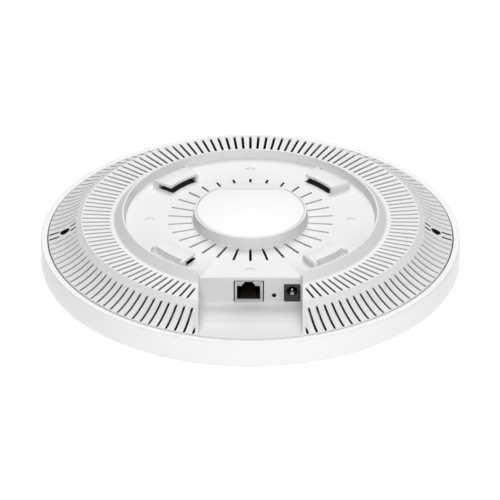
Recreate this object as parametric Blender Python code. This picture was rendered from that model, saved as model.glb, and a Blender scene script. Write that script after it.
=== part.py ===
"""A round ceiling access point, with its face down and its mounting side up.

Sizes are in millimetres and become metres where each mesh is made. Heights are measured from the
flat ring on the rim. Every piece hangs from one empty, which puts the origin on the axis, level
with the undersides of the four hooks, where the tabs of the ceiling bracket bear.
"""

import math

import bmesh
import bpy
from mathutils import Matrix, Vector

MM = 0.001
GAP = 0.3  # between two pieces that touch
SHARP_ANGLE = math.radians(32)
MERGE = 1e-4

# Covers
RIM_RADIUS = 121.5
BAND_HEIGHT = 14.0
FACE_DEPTH = 45.0
FACE_EDGE_RADIUS = 119.4
FACE_EDGE_Z = -17.1
WALL = 2.0
GROOVE_RADIUS = 117.2
LEDGE_RADIUS = 115.3
COVER_EDGE_Z = 0.4
COVE_CENTRE = (128.1, 39.0)
COVE_RADIUS = 40.1
PLATEAU_RADIUS = 98.9
PLATEAU_Z = 12.3
COLLAR_FOOT_RADIUS = 78.7
LIP_RADIUS = 74.3
LIP_WIDTH = 1.0
LIP_Z = 17.4
RECESS_RADIUS = 71.7
FLOOR_Z = 12.4
BOSS_FOOT_RADIUS = 33.4
BOSS_RADIUS = 32.7
BOSS_Z = 19.0

# Vents
VENT_COUNT = 130
VENT_PITCH = 2 * math.pi / VENT_COUNT
VENT_WIDTH = 1.3
PLATEAU_VENT = (81.3, 97.7)
FLOOR_VENT_COUNT = 30
FLOOR_VENT = (34.2, 47.8)
SHORTEST_VENT = 4.0
FIRST_VENT = math.pi / 2

# Hooks
HOOK_AZIMUTHS = [math.radians(44.8 + 90 * k) for k in range(4)]
HOOK_HALF_ANGLE = math.radians(10.2)
HOOK_END_ANGLE = math.radians(1.9)
HOOK_INNER_RADIUS = 56.0
HOOK_SLOT = (54.5, 64.2)
HOOK_WALL_RADIUS = 66.0
HOOK_RIB_RADIUS = 69.3
HOOK_TOP_Z = 16.5
HOOK_SEAT_Z = 14.9

# Cable notch and its connector panel
NOTCH_HALF_WIDTH = 30.2
NOTCH_WALL = 1.8
PANEL_Y = -66.8
PANEL_INNER_Y = PANEL_Y + WALL
NOTCH_FLOOR_Z = -4.2
RAMP_Y = -87.4
VENT_CLEARANCE = NOTCH_HALF_WIDTH + 2.4

# Label
LABEL_RADIUS = 31.0
LABEL_CHORD_Y = 24.4
LABEL_THICKNESS = 0.3

# Board and heat spreader
BOARD_TOP_Z = -3.9
BOARD_THICKNESS = 1.6
BOARD_BOTTOM_Z = BOARD_TOP_Z - BOARD_THICKNESS
BOARD_RADIUS = 86.0
PART_ON_BOARD_Z = BOARD_TOP_Z + GAP
SPREADER_TOP_Z = -8.6
SPREADER_BOTTOM_Z = -10.1
SPREADER_RADIUS = 94.0
BOARD_POSTS = [(62, 40), (-62, 40), (62, -42), (-62, -42)]
POST_RADIUS = 3.0
PILOT_RADIUS = 1.5
SHANK_RADIUS = 1.2
SCREW_HEAD_RADIUS = 2.5
SCREW_HEAD_HEIGHT = 1.6

# Screw wells on the cove
WELLS = [(107.5, 0), (-107.5, 0)]
WELL_RADIUS = 2.9
WELL_TUBE_RADIUS = 4.2
WELL_SEAT_Z = -6.0
WELL_BOTTOM_Z = -8.0
FACE_POST_RADIUS = 3.6

# Network socket
JACK_X = -0.95
JACK_WIDTH = 16.2
JACK_LOW_Z = -3.5
JACK_HEIGHT = 13.1
JACK_FRONT_Y = PANEL_Y + 0.4
JACK_LENGTH = 19.0
JACK_SHEET = 0.4
JACK_MARGIN = 0.7  # between the socket and the sides and top of its hole
MOUTH_X = -1.1
MOUTH_DEPTH = 14.0
MOUTH_STEPS = [(13.2, -1.7, 6.6), (7.6, 6.6, 8.0), (5.3, 8.0, 9.05)]  # width, low, high
LED_MIDDLES = (JACK_X - 5.8, JACK_X + 5.8)
LED_WIDTH = 2.8
LED_LOW_Z = 7.15
LED_HIGH_Z = 8.8
LED_BACK_Y = -57.3
CONTACT_COUNT = 8
CONTACT_PITCH = 1.02

# Power socket
POWER_X = 24.2
POWER_WIDTH = 9.2
POWER_LOW_Z = -3.6
POWER_HEIGHT = 11.3
POWER_FRONT_Y = PANEL_Y + 0.2
POWER_LENGTH = 13.6
BARREL_Z = 2.9
BARREL_RADIUS = 3.2
BARREL_DEPTH = 9.5
POWER_PIN_RADIUS = 1.0

# Reset button
RESET_X = 13.7
RESET_Z = 0.5
PINHOLE_RADIUS = 1.27
PLUNGER_RADIUS = 1.5
PLUNGER_LENGTH = 4.5
PLUNGER_TIP_Y = PANEL_INNER_Y + GAP
SWITCH_FRONT_Y = -61.8

# Antennas
ANTENNA_AZIMUTHS = [math.radians(a) for a in (50, 130, 195, 345)]
ANTENNA_RADIUS = 84.0
ANTENNA_SHEET = 0.5
LEAD_DIAMETER = 1.3
LEAD_PLUG_RADIUS = 78.0


# ---------------------------------------------------------------- mesh tools


def clear_scene():
    for old in list(bpy.data.objects):
        bpy.data.objects.remove(old, do_unlink=True)


def finish(name, colour, roughness, metallic=0.0):
    material = bpy.data.materials.new(name)
    material.use_nodes = True
    shader = material.node_tree.nodes["Principled BSDF"]
    shader.inputs["Base Color"].default_value = (*colour, 1.0)
    shader.inputs["Roughness"].default_value = roughness
    shader.inputs["Metallic"].default_value = metallic
    return material


def add_object(name, bm, material, location=(0, 0, 0), azimuth=0.0):
    bmesh.ops.recalc_face_normals(bm, faces=bm.faces)
    bmesh.ops.scale(bm, verts=bm.verts, vec=(MM, MM, MM))
    mesh = bpy.data.meshes.new(name)
    bm.to_mesh(mesh)
    bm.free()
    mesh.materials.append(material)
    mesh.shade_smooth()
    mesh.set_sharp_from_angle(angle=SHARP_ANGLE)
    obj = bpy.data.objects.new(name, mesh)
    bpy.context.scene.collection.objects.link(obj)
    obj.parent = bpy.data.objects["frame"]
    obj.location = Vector(location) * MM
    obj.rotation_euler.z = azimuth
    return obj


def combine(target, operand, operation):
    """Adds, cuts or intersects target with operand, which stays as a hidden guide."""
    modifier = target.modifiers.new(operand.name, "BOOLEAN")
    modifier.operation = operation
    modifier.solver = "EXACT"
    modifier.object = operand
    operand.hide_render = True
    operand.display_type = "WIRE"


def loft(bm, rings):
    """Closes a solid through rings of points, each ring with the same number of points."""
    loops = [[bm.verts.new(point) for point in ring] for ring in rings]
    for low, high in zip(loops, loops[1:]):
        for i in range(len(low)):
            bm.faces.new((low[i - 1], low[i], high[i], high[i - 1]))
    bm.faces.new(reversed(loops[0]))
    bm.faces.new(loops[-1])
    return [vert for loop in loops for vert in loop]


def prism(bm, outline, low, high):
    return loft(bm, [[(x, y, z) for x, y in outline] for z in (low, high)])


def prism_x(bm, outline, low, high):
    """Extrudes an outline of (y, z) points along X."""
    return loft(bm, [[(x, y, z) for y, z in outline] for x in (low, high)])


def prism_y(bm, outline, low, high):
    """Extrudes an outline of (x, z) points along Y."""
    return loft(bm, [[(x, y, z) for x, z in outline] for y in (low, high)])


def box(bm, x, y, z):
    return prism(bm, [(x[0], y[0]), (x[1], y[0]), (x[1], y[1]), (x[0], y[1])], *z)


def circle(centre, radius, sides, start=0.0, sweep=2 * math.pi):
    """Points round an arc. A full circle doesn't repeat its first point."""
    steps = sides if abs(sweep) >= 2 * math.pi else sides - 1
    angles = [start + sweep * i / steps for i in range(sides)]
    return [(centre[0] + radius * math.cos(a), centre[1] + radius * math.sin(a)) for a in angles]


def sector(radii, angles, sides):
    """The outline of a stretch of a flat ring."""
    outer = circle((0, 0), radii[1], sides, angles[0], angles[1] - angles[0])
    inner = circle((0, 0), radii[0], sides, angles[1], angles[0] - angles[1])
    return outer + inner


def lathe(bm, profile, sides, centre=(0, 0), phase=0.0):
    """Turns (radius, z) points about a vertical axis. An open profile starts and ends on it."""
    turn = Matrix.Rotation(phase, 3, "Z")
    loop = [bm.verts.new(turn @ Vector((r, 0, z))) for r, z in profile]
    edges = [bm.edges.new(pair) for pair in zip(loop, loop[1:])]
    if profile[0][0] > 0:
        edges.append(bm.edges.new((loop[-1], loop[0])))
    before = set(bm.verts) - set(loop)
    bmesh.ops.spin(
        bm, geom=loop + edges, axis=(0, 0, 1), steps=sides, angle=2 * math.pi, use_merge=True
    )
    made = [vert for vert in bm.verts if vert not in before]
    bmesh.ops.remove_doubles(bm, verts=made, dist=MERGE)
    made = [vert for vert in bm.verts if vert not in before]
    bmesh.ops.translate(bm, verts=made, vec=(*centre, 0))
    return made


def rod(bm, centre, radius, low, high, sides):
    prism(bm, circle(centre, radius, sides), low, high)


def rod_y(bm, centre, radius, low, high, sides):
    prism_y(bm, circle(centre, radius, sides), low, high)


# ---------------------------------------------------------------- covers


def cove_z(radius):
    """Height of the hollow cove's surface, an arc that rises towards the middle."""
    run = radius - COVE_CENTRE[0]
    return COVE_CENTRE[1] - math.sqrt(COVE_RADIUS**2 - run**2)


def face_z(radius, inset=0.0):
    """Height of the domed face's outer surface, or of its inner one with inset as the wall."""
    rise = FACE_DEPTH + FACE_EDGE_Z
    sphere = (FACE_EDGE_RADIUS**2 + rise**2) / (2 * rise)
    return sphere - FACE_DEPTH - math.sqrt((sphere - inset) ** 2 - radius**2)


def outer_profile(drop=0.0):
    """The rear cover's upper surface, from its edge to the middle, lowered by drop."""
    cove = [(r, cove_z(r)) for r in (108.6, 99.5)]
    points = [
        (GROOVE_RADIUS, COVER_EDGE_Z),
        *cove,
        (PLATEAU_RADIUS, PLATEAU_Z),
        (COLLAR_FOOT_RADIUS, PLATEAU_Z),
        (LIP_RADIUS, LIP_Z),
        (LIP_RADIUS - LIP_WIDTH, LIP_Z),
        (RECESS_RADIUS, FLOOR_Z),
        (BOSS_FOOT_RADIUS, FLOOR_Z),
        (BOSS_RADIUS, BOSS_Z),
        (0, BOSS_Z),
    ]
    return [(r, z - drop) for r, z in points]


def inner_profile():
    """The rear cover's under surface, from the middle to its edge."""
    under = FLOOR_Z - WALL
    return [
        (0, BOSS_Z - WALL - LABEL_THICKNESS),
        (BOSS_RADIUS - WALL, BOSS_Z - WALL - LABEL_THICKNESS),
        (BOSS_FOOT_RADIUS - WALL, under),
        (PLATEAU_RADIUS - WALL, under),
        (107.6, cove_z(107.6) - 2.3),
        (LEDGE_RADIUS, COVER_EDGE_Z - WALL),
        (GROOVE_RADIUS, COVER_EDGE_Z - WALL),
    ]


def vent(bm, angle, radii, low, high):
    half = VENT_WIDTH / 2
    turn = Matrix.Rotation(angle, 3, "Z")
    corners = [(radii[0], -half), (radii[1], -half), (radii[1], half), (radii[0], half)]
    outline = [(turn @ Vector((r, side, 0))).to_2d() for r, side in corners]
    prism(bm, outline, low, high)


def clear_of_notch(angle, radii):
    """Shortens a vent that would run into the cable notch. Returns None where none is left."""
    across = abs(math.cos(angle))
    if math.sin(angle) > 0:
        return radii
    inner = max(radii[0], VENT_CLEARANCE / max(across, 1e-6))
    return (inner, radii[1]) if radii[1] - inner > SHORTEST_VENT else None


def plateau_vents(bm):
    for k in range(VENT_COUNT):
        angle = FIRST_VENT + k * VENT_PITCH
        radii = clear_of_notch(angle, PLATEAU_VENT)
        if radii:
            vent(bm, angle, radii, 9, 14)


def floor_vents(bm):
    for k in range(FLOOR_VENT_COUNT):
        vent(bm, FIRST_VENT + k * 2 * math.pi / FLOOR_VENT_COUNT, FLOOR_VENT, 9, 14)


def hook_block(bm, azimuth):
    """The outside of a hook: a roof, its outer wall, and a rib out from the wall at each end."""
    first = azimuth - HOOK_HALF_ANGLE - HOOK_END_ANGLE
    last = azimuth + HOOK_HALF_ANGLE
    steps = 5
    outline = circle((0, 0), HOOK_INNER_RADIUS, steps, last, first - last)
    outline += circle((0, 0), HOOK_RIB_RADIUS, 2, first, HOOK_END_ANGLE)
    start = first + HOOK_END_ANGLE
    end = last - HOOK_END_ANGLE
    outline += circle((0, 0), HOOK_WALL_RADIUS, steps, start, end - start)
    outline += circle((0, 0), HOOK_RIB_RADIUS, 2, end, HOOK_END_ANGLE)
    prism(bm, outline, FLOOR_Z - 0.6, HOOK_TOP_Z)


def hook_slot(bm, azimuth):
    """The space under a hook's roof, open at one end, which goes on down through the floor."""
    angles = (azimuth - HOOK_HALF_ANGLE, azimuth + HOOK_HALF_ANGLE + 0.001)
    prism(bm, sector(HOOK_SLOT, angles, 5), FLOOR_Z - 6, HOOK_SEAT_Z)


def label_outline(grow=0.0):
    """A round plate with one straight side, away from the notch."""
    radius = LABEL_RADIUS + grow
    chord_y = LABEL_CHORD_Y + grow
    corner = math.asin(chord_y / radius)
    return circle((0, 0), radius, 40, math.pi - corner, math.pi + 2 * corner)


def make_rear_cover(white, guide):
    bm = bmesh.new()
    lathe(bm, outer_profile()[::-1] + inner_profile()[::-1], VENT_COUNT, phase=VENT_PITCH / 2)
    cover = add_object("rear_cover", bm, white)

    # The notch's walls and the screw wells, trimmed so that they stay under the outer surface.
    bm = bmesh.new()
    side = NOTCH_HALF_WIDTH + NOTCH_WALL
    front = -GROOVE_RADIUS - 1
    slope = (COVER_EDGE_Z - NOTCH_FLOOR_Z) / (GROOVE_RADIUS + RAMP_Y)
    under = NOTCH_FLOOR_Z - WALL
    ramp = [(PANEL_INNER_Y, under), (RAMP_Y, under), (front, under + slope * (RAMP_Y - front))]
    prism_x(bm, ramp + [(front, 20), (PANEL_INNER_Y, 20)], -side, side)
    for well in WELLS:
        rod(bm, well, WELL_TUBE_RADIUS, WELL_BOTTOM_Z, 20, 20)
    walls = add_object("notch_and_well_walls", bm, guide)
    bm = bmesh.new()
    depth = 0.8
    middle = PANEL_INNER_Y + 1
    edge_radius = GROOVE_RADIUS - 0.5
    skin = [(edge_radius, COVER_EDGE_Z - depth), *outer_profile(depth)[1:4], (-middle, PLATEAU_Z - depth)]
    under_edge = [(edge_radius, COVER_EDGE_Z - WALL + 0.1), (LEDGE_RADIUS, COVER_EDGE_Z - WALL + 0.1)]
    bottom = [(LEDGE_RADIUS, -9), (-middle, -9)]
    lathe(bm, skin + (under_edge + bottom)[::-1], VENT_COUNT, phase=VENT_PITCH / 2)
    combine(walls, add_object("under_skin", bm, guide), "INTERSECT")
    combine(cover, walls, "UNION")

    bm = bmesh.new()
    for azimuth in HOOK_AZIMUTHS:
        hook_block(bm, azimuth)
    for post in BOARD_POSTS:
        rod(bm, post, POST_RADIUS, BOARD_TOP_Z + GAP, FLOOR_Z - 1, 12)
    combine(cover, add_object("hooks_and_posts", bm, guide), "UNION")

    bm = bmesh.new()
    above = 30
    out_y = -GROOVE_RADIUS - 10
    out_z = NOTCH_FLOOR_Z + slope * (RAMP_Y - out_y)
    ramp = [(PANEL_Y, NOTCH_FLOOR_Z), (RAMP_Y, NOTCH_FLOOR_Z), (out_y, out_z)]
    prism_x(bm, ramp + [(out_y, above), (PANEL_Y, above)], -NOTCH_HALF_WIDTH, NOTCH_HALF_WIDTH)
    combine(cover, add_object("notch_space", bm, guide), "DIFFERENCE")

    bm = bmesh.new()
    plateau_vents(bm)
    floor_vents(bm)
    for azimuth in HOOK_AZIMUTHS:
        hook_slot(bm, azimuth)
    for post in BOARD_POSTS:
        rod(bm, post, PILOT_RADIUS, BOARD_TOP_Z - 1, 5, 10)
    for well in WELLS:
        rod(bm, well, WELL_RADIUS, WELL_SEAT_Z, 20, 16)
    prism(bm, label_outline(grow=GAP), BOSS_Z - LABEL_THICKNESS - GAP, BOSS_Z + 5)
    combine(cover, add_object("vents_and_holes", bm, guide), "DIFFERENCE")

    bm = bmesh.new()
    for well in WELLS:
        rod(bm, well, PILOT_RADIUS, WELL_BOTTOM_Z - 1, WELL_SEAT_Z + 1, 10)
    depth = (PANEL_Y - 1, PANEL_INNER_Y + 0.5)
    half = JACK_WIDTH / 2 + JACK_MARGIN
    top = JACK_LOW_Z + JACK_HEIGHT + JACK_MARGIN
    box(bm, (JACK_X - half, JACK_X + half), depth, (JACK_LOW_Z - GAP, top))
    half = POWER_WIDTH / 2 + GAP
    top = POWER_LOW_Z + POWER_HEIGHT + GAP
    box(bm, (POWER_X - half, POWER_X + half), depth, (POWER_LOW_Z - GAP, top))
    rod_y(bm, (RESET_X, RESET_Z), PINHOLE_RADIUS, *depth, 14)
    combine(cover, add_object("port_holes", bm, guide), "DIFFERENCE")


def make_front_cover(white, guide):
    fillet = [(RIM_RADIUS, -BAND_HEIGHT), (RIM_RADIUS - 0.5, -BAND_HEIGHT - 1.9)]
    dome = [(r, face_z(r)) for r in (FACE_EDGE_RADIUS, 97, 73, 48, 24)]
    lens_hole = 2.3
    inside = [(r, face_z(r, WALL)) for r in (lens_hole, 24, 48, 73, 97, 116.4)]
    inner_wall = RIM_RADIUS - WALL
    lip = GROOVE_RADIUS + 0.6
    ledge_z = COVER_EDGE_Z - WALL - GAP
    outline = [
        (lip, -0.1),
        (lip + 0.3, 0),
        (RIM_RADIUS - 0.4, 0),
        (RIM_RADIUS, -0.4),
        *fillet,
        *dome,
        (lens_hole, face_z(lens_hole)),
        *inside,
        (inner_wall, -14.5),
        (inner_wall, -5.5),
        (LEDGE_RADIUS + 0.5, -4.4),
        (LEDGE_RADIUS + 0.5, ledge_z),
        (lip, ledge_z),
    ]
    bm = bmesh.new()
    lathe(bm, outline, VENT_COUNT // 2)
    cover = add_object("front_cover", bm, white)
    bm = bmesh.new()
    for x, y in WELLS:
        rod(bm, (x, y), FACE_POST_RADIUS, face_z(x, 1.0), WELL_BOTTOM_Z - GAP, 14)
    combine(cover, add_object("face_posts", bm, guide), "UNION")
    bm = bmesh.new()
    for well in WELLS:
        rod(bm, well, PILOT_RADIUS, -16, WELL_BOTTOM_Z + 1, 10)
    # The ledge is open where the floor of the cable notch dips under it.
    half = math.asin((NOTCH_HALF_WIDTH + NOTCH_WALL + 1) / LEDGE_RADIUS)
    cut = sector((LEDGE_RADIUS - 5, lip - 0.1), (-math.pi / 2 - half, -math.pi / 2 + half), 9)
    prism(bm, cut, -7, ledge_z + 1)
    combine(cover, add_object("face_pilots", bm, guide), "DIFFERENCE")


def make_label(paper):
    bm = bmesh.new()
    prism(bm, label_outline(), BOSS_Z - LABEL_THICKNESS, BOSS_Z)
    add_object("label_plate", bm, paper)


# ---------------------------------------------------------------- board and what is on it


def make_main_board(green, guide):
    corner = math.asin(-(PANEL_INNER_Y + 0.4) / BOARD_RADIUS)
    outline = circle((0, 0), BOARD_RADIUS, 44, -corner, math.pi + 2 * corner)
    bm = bmesh.new()
    prism(bm, outline, BOARD_BOTTOM_Z, BOARD_TOP_Z)
    board = add_object("main_board", bm, green)
    bm = bmesh.new()
    for post in BOARD_POSTS:
        rod(bm, post, PILOT_RADIUS, BOARD_BOTTOM_Z - 1, BOARD_TOP_Z + 1, 12)
    combine(board, add_object("board_holes", bm, guide), "DIFFERENCE")


def make_heat_spreader(aluminium, guide):
    light_hole = 4.0
    bm = bmesh.new()
    outline = [(light_hole, SPREADER_TOP_Z), (SPREADER_RADIUS, SPREADER_TOP_Z)]
    outline += [(SPREADER_RADIUS, SPREADER_BOTTOM_Z), (light_hole, SPREADER_BOTTOM_Z)]
    lathe(bm, outline, 48)
    spreader = add_object("heat_spreader", bm, aluminium)
    bm = bmesh.new()
    for post in BOARD_POSTS:
        rod(bm, post, POST_RADIUS, SPREADER_TOP_Z - 0.5, BOARD_BOTTOM_Z - GAP, 12)
    combine(spreader, add_object("spreader_stands", bm, guide), "UNION")
    bm = bmesh.new()
    for post in BOARD_POSTS:
        rod(bm, post, PILOT_RADIUS, SPREADER_BOTTOM_Z - 1, BOARD_BOTTOM_Z, 12)
    combine(spreader, add_object("spreader_holes", bm, guide), "DIFFERENCE")


def block(bm, centre, size, low, high):
    """A box on the board, given by its middle, its two lengths and its two heights."""
    box(
        bm,
        (centre[0] - size[0] / 2, centre[0] + size[0] / 2),
        (centre[1] - size[1] / 2, centre[1] + size[1] / 2),
        (low, high),
    )


def make_chips(chip_black, pad_grey):
    """The processor and memory hang under the board, and pads join them to the heat spreader."""
    chip_top = BOARD_BOTTOM_Z - GAP
    chip_low = chip_top - 1.4
    processor = ((-20, 12), (19, 19))
    memory = [((6, 24), (9, 13)), ((-22, -14), (13, 9))]
    bm = bmesh.new()
    block(bm, *processor, chip_low, chip_top)
    add_object("processor", bm, chip_black)
    for number, place in enumerate(memory, 1):
        bm = bmesh.new()
        block(bm, *place, chip_low, chip_top)
        add_object(f"memory_chip_{number}", bm, chip_black)
    for number, (centre, size) in enumerate([processor, *memory], 1):
        bm = bmesh.new()
        block(bm, centre, (size[0] - 2, size[1] - 2), SPREADER_TOP_Z + GAP, chip_low - GAP)
        add_object(f"thermal_pad_{number}", bm, pad_grey)


def make_radios(chip_black, tin, guide):
    """Two radio chips on top of the board, each under its own shield can."""
    height = 3.4
    for number, (centre, size) in enumerate([((-38, 30), (38, 30)), ((34, 34), (34, 28))], 1):
        bm = bmesh.new()
        block(bm, centre, (10, 10), PART_ON_BOARD_Z, PART_ON_BOARD_Z + 1)
        add_object(f"radio_chip_{number}", bm, chip_black)
        bm = bmesh.new()
        block(bm, centre, size, PART_ON_BOARD_Z, PART_ON_BOARD_Z + height)
        can = add_object(f"rf_shield_{number}", bm, tin)
        bm = bmesh.new()
        inside = (size[0] - 0.8, size[1] - 0.8)
        block(bm, centre, inside, PART_ON_BOARD_Z - 1, PART_ON_BOARD_Z + height - 0.4)
        combine(can, add_object(f"rf_shield_inside_{number}", bm, guide), "DIFFERENCE")


def make_network_transformer(chip_black):
    bm = bmesh.new()
    block(bm, (JACK_X, -39), (16, 11), PART_ON_BOARD_Z, PART_ON_BOARD_Z + 6.2)
    add_object("network_transformer", bm, chip_black)


def make_power_transformer(ferrite, tape, guide):
    """A core with two windows, and the coil round its middle leg."""
    centre = (36, -30)
    width, depth, height = 18, 7, 12
    leg, yoke = 5, 2
    low = PART_ON_BOARD_Z
    bm = bmesh.new()
    block(bm, centre, (width, depth), low, low + height)
    core = add_object("poe_core", bm, ferrite)
    window = (width - leg - 2 * yoke) / 2
    offset = (leg + window) / 2
    bm = bmesh.new()
    for side in (-offset, offset):
        block(bm, (centre[0] + side, centre[1]), (window, depth + 2), low + yoke, low + height - yoke)
    combine(core, add_object("core_windows", bm, guide), "DIFFERENCE")
    inner = math.hypot(leg, depth) / 2 + GAP
    outer = leg / 2 + window - GAP
    bottom = low + yoke + GAP
    top = low + height - yoke - GAP
    bm = bmesh.new()
    lathe(bm, [(inner, top), (outer, top), (outer, bottom), (inner, bottom)], 20, centre)
    add_object("poe_bobbin", bm, tape)


def make_capacitors(can_blue):
    """Four cans with a rolled groove near the foot."""
    low = PART_ON_BOARD_Z
    large = (5, 11)
    small = (4, 8)
    places = [((56, -12), *large), ((56, 2), *large), ((-30, -44), *small), ((-42, -40), *small)]
    for number, (centre, radius, height) in enumerate(places, 1):
        top = low + height
        bm = bmesh.new()
        lathe(bm, [(0, top), (radius - 0.4, top), (radius, top - 0.4), (radius, low), (0, low)], 12, centre)
        add_object(f"capacitor_{number}", bm, can_blue)


def make_status_light(chip_black, clear):
    bm = bmesh.new()
    block(bm, (0, 0), (3.5, 2.8), BOARD_BOTTOM_Z - GAP - 1.4, BOARD_BOTTOM_Z - GAP)
    add_object("status_led", bm, chip_black)
    top = BOARD_BOTTOM_Z - GAP - 1.4 - GAP
    flange = face_z(0, WALL) + GAP
    radius = 2.0
    profile = [(0, top), (radius, top), (radius, flange + 1.2), (3.6, flange + 1.2), (3.6, flange)]
    bm = bmesh.new()
    lathe(bm, profile + [(radius, flange), (radius, -FACE_DEPTH + 0.1), (0, -FACE_DEPTH)], 16)
    add_object("status_light_pipe", bm, clear)


# ---------------------------------------------------------------- network socket


def led_box(bm, middle, grow, y):
    """An indicator window in one of the socket's upper corners."""
    half = LED_WIDTH / 2 + grow
    box(bm, (middle - half, middle + half), y, (LED_LOW_Z - grow, LED_HIGH_Z + grow))


def make_network_socket(nickel, black, gold, amber, guide):
    back_y = JACK_FRONT_Y + JACK_LENGTH
    left = JACK_X - JACK_WIDTH / 2
    right = JACK_X + JACK_WIDTH / 2
    top = JACK_LOW_Z + JACK_HEIGHT
    bm = bmesh.new()
    box(bm, (left, right), (JACK_FRONT_Y, back_y), (JACK_LOW_Z, top))
    shield = add_object("rj45_shield", bm, nickel)
    inside_y = JACK_FRONT_Y + JACK_SHEET
    bm = bmesh.new()
    sides = (left + JACK_SHEET, right - JACK_SHEET)
    box(bm, sides, (inside_y, back_y + 1), (JACK_LOW_Z + JACK_SHEET, top - JACK_SHEET))
    combine(shield, add_object("shield_inside", bm, guide), "DIFFERENCE")
    bm = bmesh.new()
    face = (JACK_FRONT_Y - 1, inside_y + 0.1)
    outline = []
    for width, low, high in MOUTH_STEPS:
        outline += [(width / 2, low), (width / 2, high)]
    outline = [(x, z) for x, z in outline] + [(-x, z) for x, z in reversed(outline)]
    prism_y(bm, [(MOUTH_X + x, z) for x, z in outline], *face)
    for middle in LED_MIDDLES:
        led_box(bm, middle, GAP, face)
    combine(shield, add_object("shield_openings", bm, guide), "DIFFERENCE")

    step = JACK_SHEET + GAP
    front_y = JACK_FRONT_Y + step
    bm = bmesh.new()
    body_x = (left + step, right - step)
    box(bm, body_x, (front_y, back_y - step), (JACK_LOW_Z + step, top - step))
    housing = add_object("rj45_housing", bm, black)
    bm = bmesh.new()
    prism_y(bm, [(MOUTH_X + x, z) for x, z in outline], front_y - 1, JACK_FRONT_Y + MOUTH_DEPTH)
    for middle in (left, right):
        box(bm, (middle - 4.0, middle + 4.0), (front_y - 1, LED_BACK_Y + GAP), (LED_LOW_Z - GAP, top))
    combine(housing, add_object("housing_mouth", bm, guide), "DIFFERENCE")

    # Each contact is a sprung strip that rises towards the back of the mouth.
    half = 0.18
    thick = 0.35
    y_front = JACK_FRONT_Y + 2.2
    y_back = JACK_FRONT_Y + MOUTH_DEPTH - GAP
    low_side = [(y_front, -1.3), (y_front + 1, -1.3), (y_back, 2.6)]
    strip = low_side + [(y, z + thick) for y, z in reversed(low_side)]
    for k in range(CONTACT_COUNT):
        x = MOUTH_X + (k - (CONTACT_COUNT - 1) / 2) * CONTACT_PITCH
        bm = bmesh.new()
        prism_x(bm, strip, x - half, x + half)
        add_object(f"rj45_contact_{k + 1}", bm, gold)
    for number, middle in enumerate(LED_MIDDLES, 1):
        bm = bmesh.new()
        led_box(bm, middle, 0, (JACK_FRONT_Y + 0.2, LED_BACK_Y))
        add_object(f"rj45_led_window_{number}", bm, amber)


# ---------------------------------------------------------------- power socket and reset button


def make_power_socket(black, nickel, guide):
    half = POWER_WIDTH / 2
    bm = bmesh.new()
    across = (POWER_X - half, POWER_X + half)
    along = (POWER_FRONT_Y, POWER_FRONT_Y + POWER_LENGTH)
    box(bm, across, along, (POWER_LOW_Z, POWER_LOW_Z + POWER_HEIGHT))
    body = add_object("dc_jack_body", bm, black)
    bottom_y = POWER_FRONT_Y + BARREL_DEPTH
    bm = bmesh.new()
    rod_y(bm, (POWER_X, BARREL_Z), BARREL_RADIUS, POWER_FRONT_Y - 1, bottom_y, 20)
    combine(body, add_object("barrel", bm, guide), "DIFFERENCE")
    bm = bmesh.new()
    radii = [(0.45, 1.0), (0.9, 1.35), (1.0, 1.8), (1.0, BARREL_DEPTH - GAP)]
    rings = []
    for scale, y in radii:
        ring = circle((POWER_X, BARREL_Z), POWER_PIN_RADIUS * scale, 12)
        rings.append([(x, POWER_FRONT_Y + y, z) for x, z in ring])
    loft(bm, rings)
    add_object("dc_jack_pin", bm, nickel)
    bm = bmesh.new()
    low = BARREL_Z - BARREL_RADIUS + 0.45
    leaf = [(2.5, low), (5, low + 0.5), (8.5, low), (8.5, low + 0.25), (5, low + 0.75), (2.5, low + 0.25)]
    prism_x(bm, [(POWER_FRONT_Y + y, z) for y, z in leaf], POWER_X - 0.75, POWER_X + 0.75)
    add_object("dc_jack_spring", bm, nickel)


def make_reset_button(black, grey, guide):
    bm = bmesh.new()
    box(bm, (RESET_X - 3, RESET_X + 3), (SWITCH_FRONT_Y, SWITCH_FRONT_Y + 3.8), (PART_ON_BOARD_Z, 3.9))
    body = add_object("reset_switch_body", bm, grey)
    bm = bmesh.new()
    rod_y(bm, (RESET_X, RESET_Z), PLUNGER_RADIUS + GAP, SWITCH_FRONT_Y - 1, SWITCH_FRONT_Y + 2.7, 14)
    combine(body, add_object("plunger_hole", bm, guide), "DIFFERENCE")
    bm = bmesh.new()
    rings = []
    for radius, y in ((PLUNGER_RADIUS - 0.3, 0), (PLUNGER_RADIUS, 0.3), (PLUNGER_RADIUS, PLUNGER_LENGTH)):
        rings.append([(x, y, z) for x, z in circle((0, 0), radius, 14)])
    loft(bm, rings)
    add_object("reset_plunger", bm, black, (RESET_X, PLUNGER_TIP_Y, RESET_Z))


# ---------------------------------------------------------------- antennas


def make_antennas(tin, guide):
    """Stamped antennas that stand out from the heat spreader towards the face."""
    legs = [(-5, -0.2), (-3, -0.2), (-3, -5), (0, -5), (0, -0.2), (2, -0.2), (2, -5)]
    web = [*legs, (14, -5), (14, -9.5), (-5, -9.5)]
    top = SPREADER_BOTTOM_Z - GAP
    for number, azimuth in enumerate(ANTENNA_AZIMUTHS, 1):
        place = Matrix.Rotation(azimuth, 3, "Z") @ Vector((ANTENNA_RADIUS, 0, 0))
        facing = azimuth - math.pi / 2
        bm = bmesh.new()
        prism_y(bm, [(x, top + z) for x, z in web], 0, ANTENNA_SHEET)
        antenna = add_object(f"antenna_{number}", bm, tin, place, facing)
        bm = bmesh.new()
        box(bm, (-5.2, 2.2), (-5, 0.35), (top - ANTENNA_SHEET - 0.05, top))
        foot = add_object(f"antenna_foot_{number}", bm, guide, place, facing)
        combine(antenna, foot, "UNION")


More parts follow.
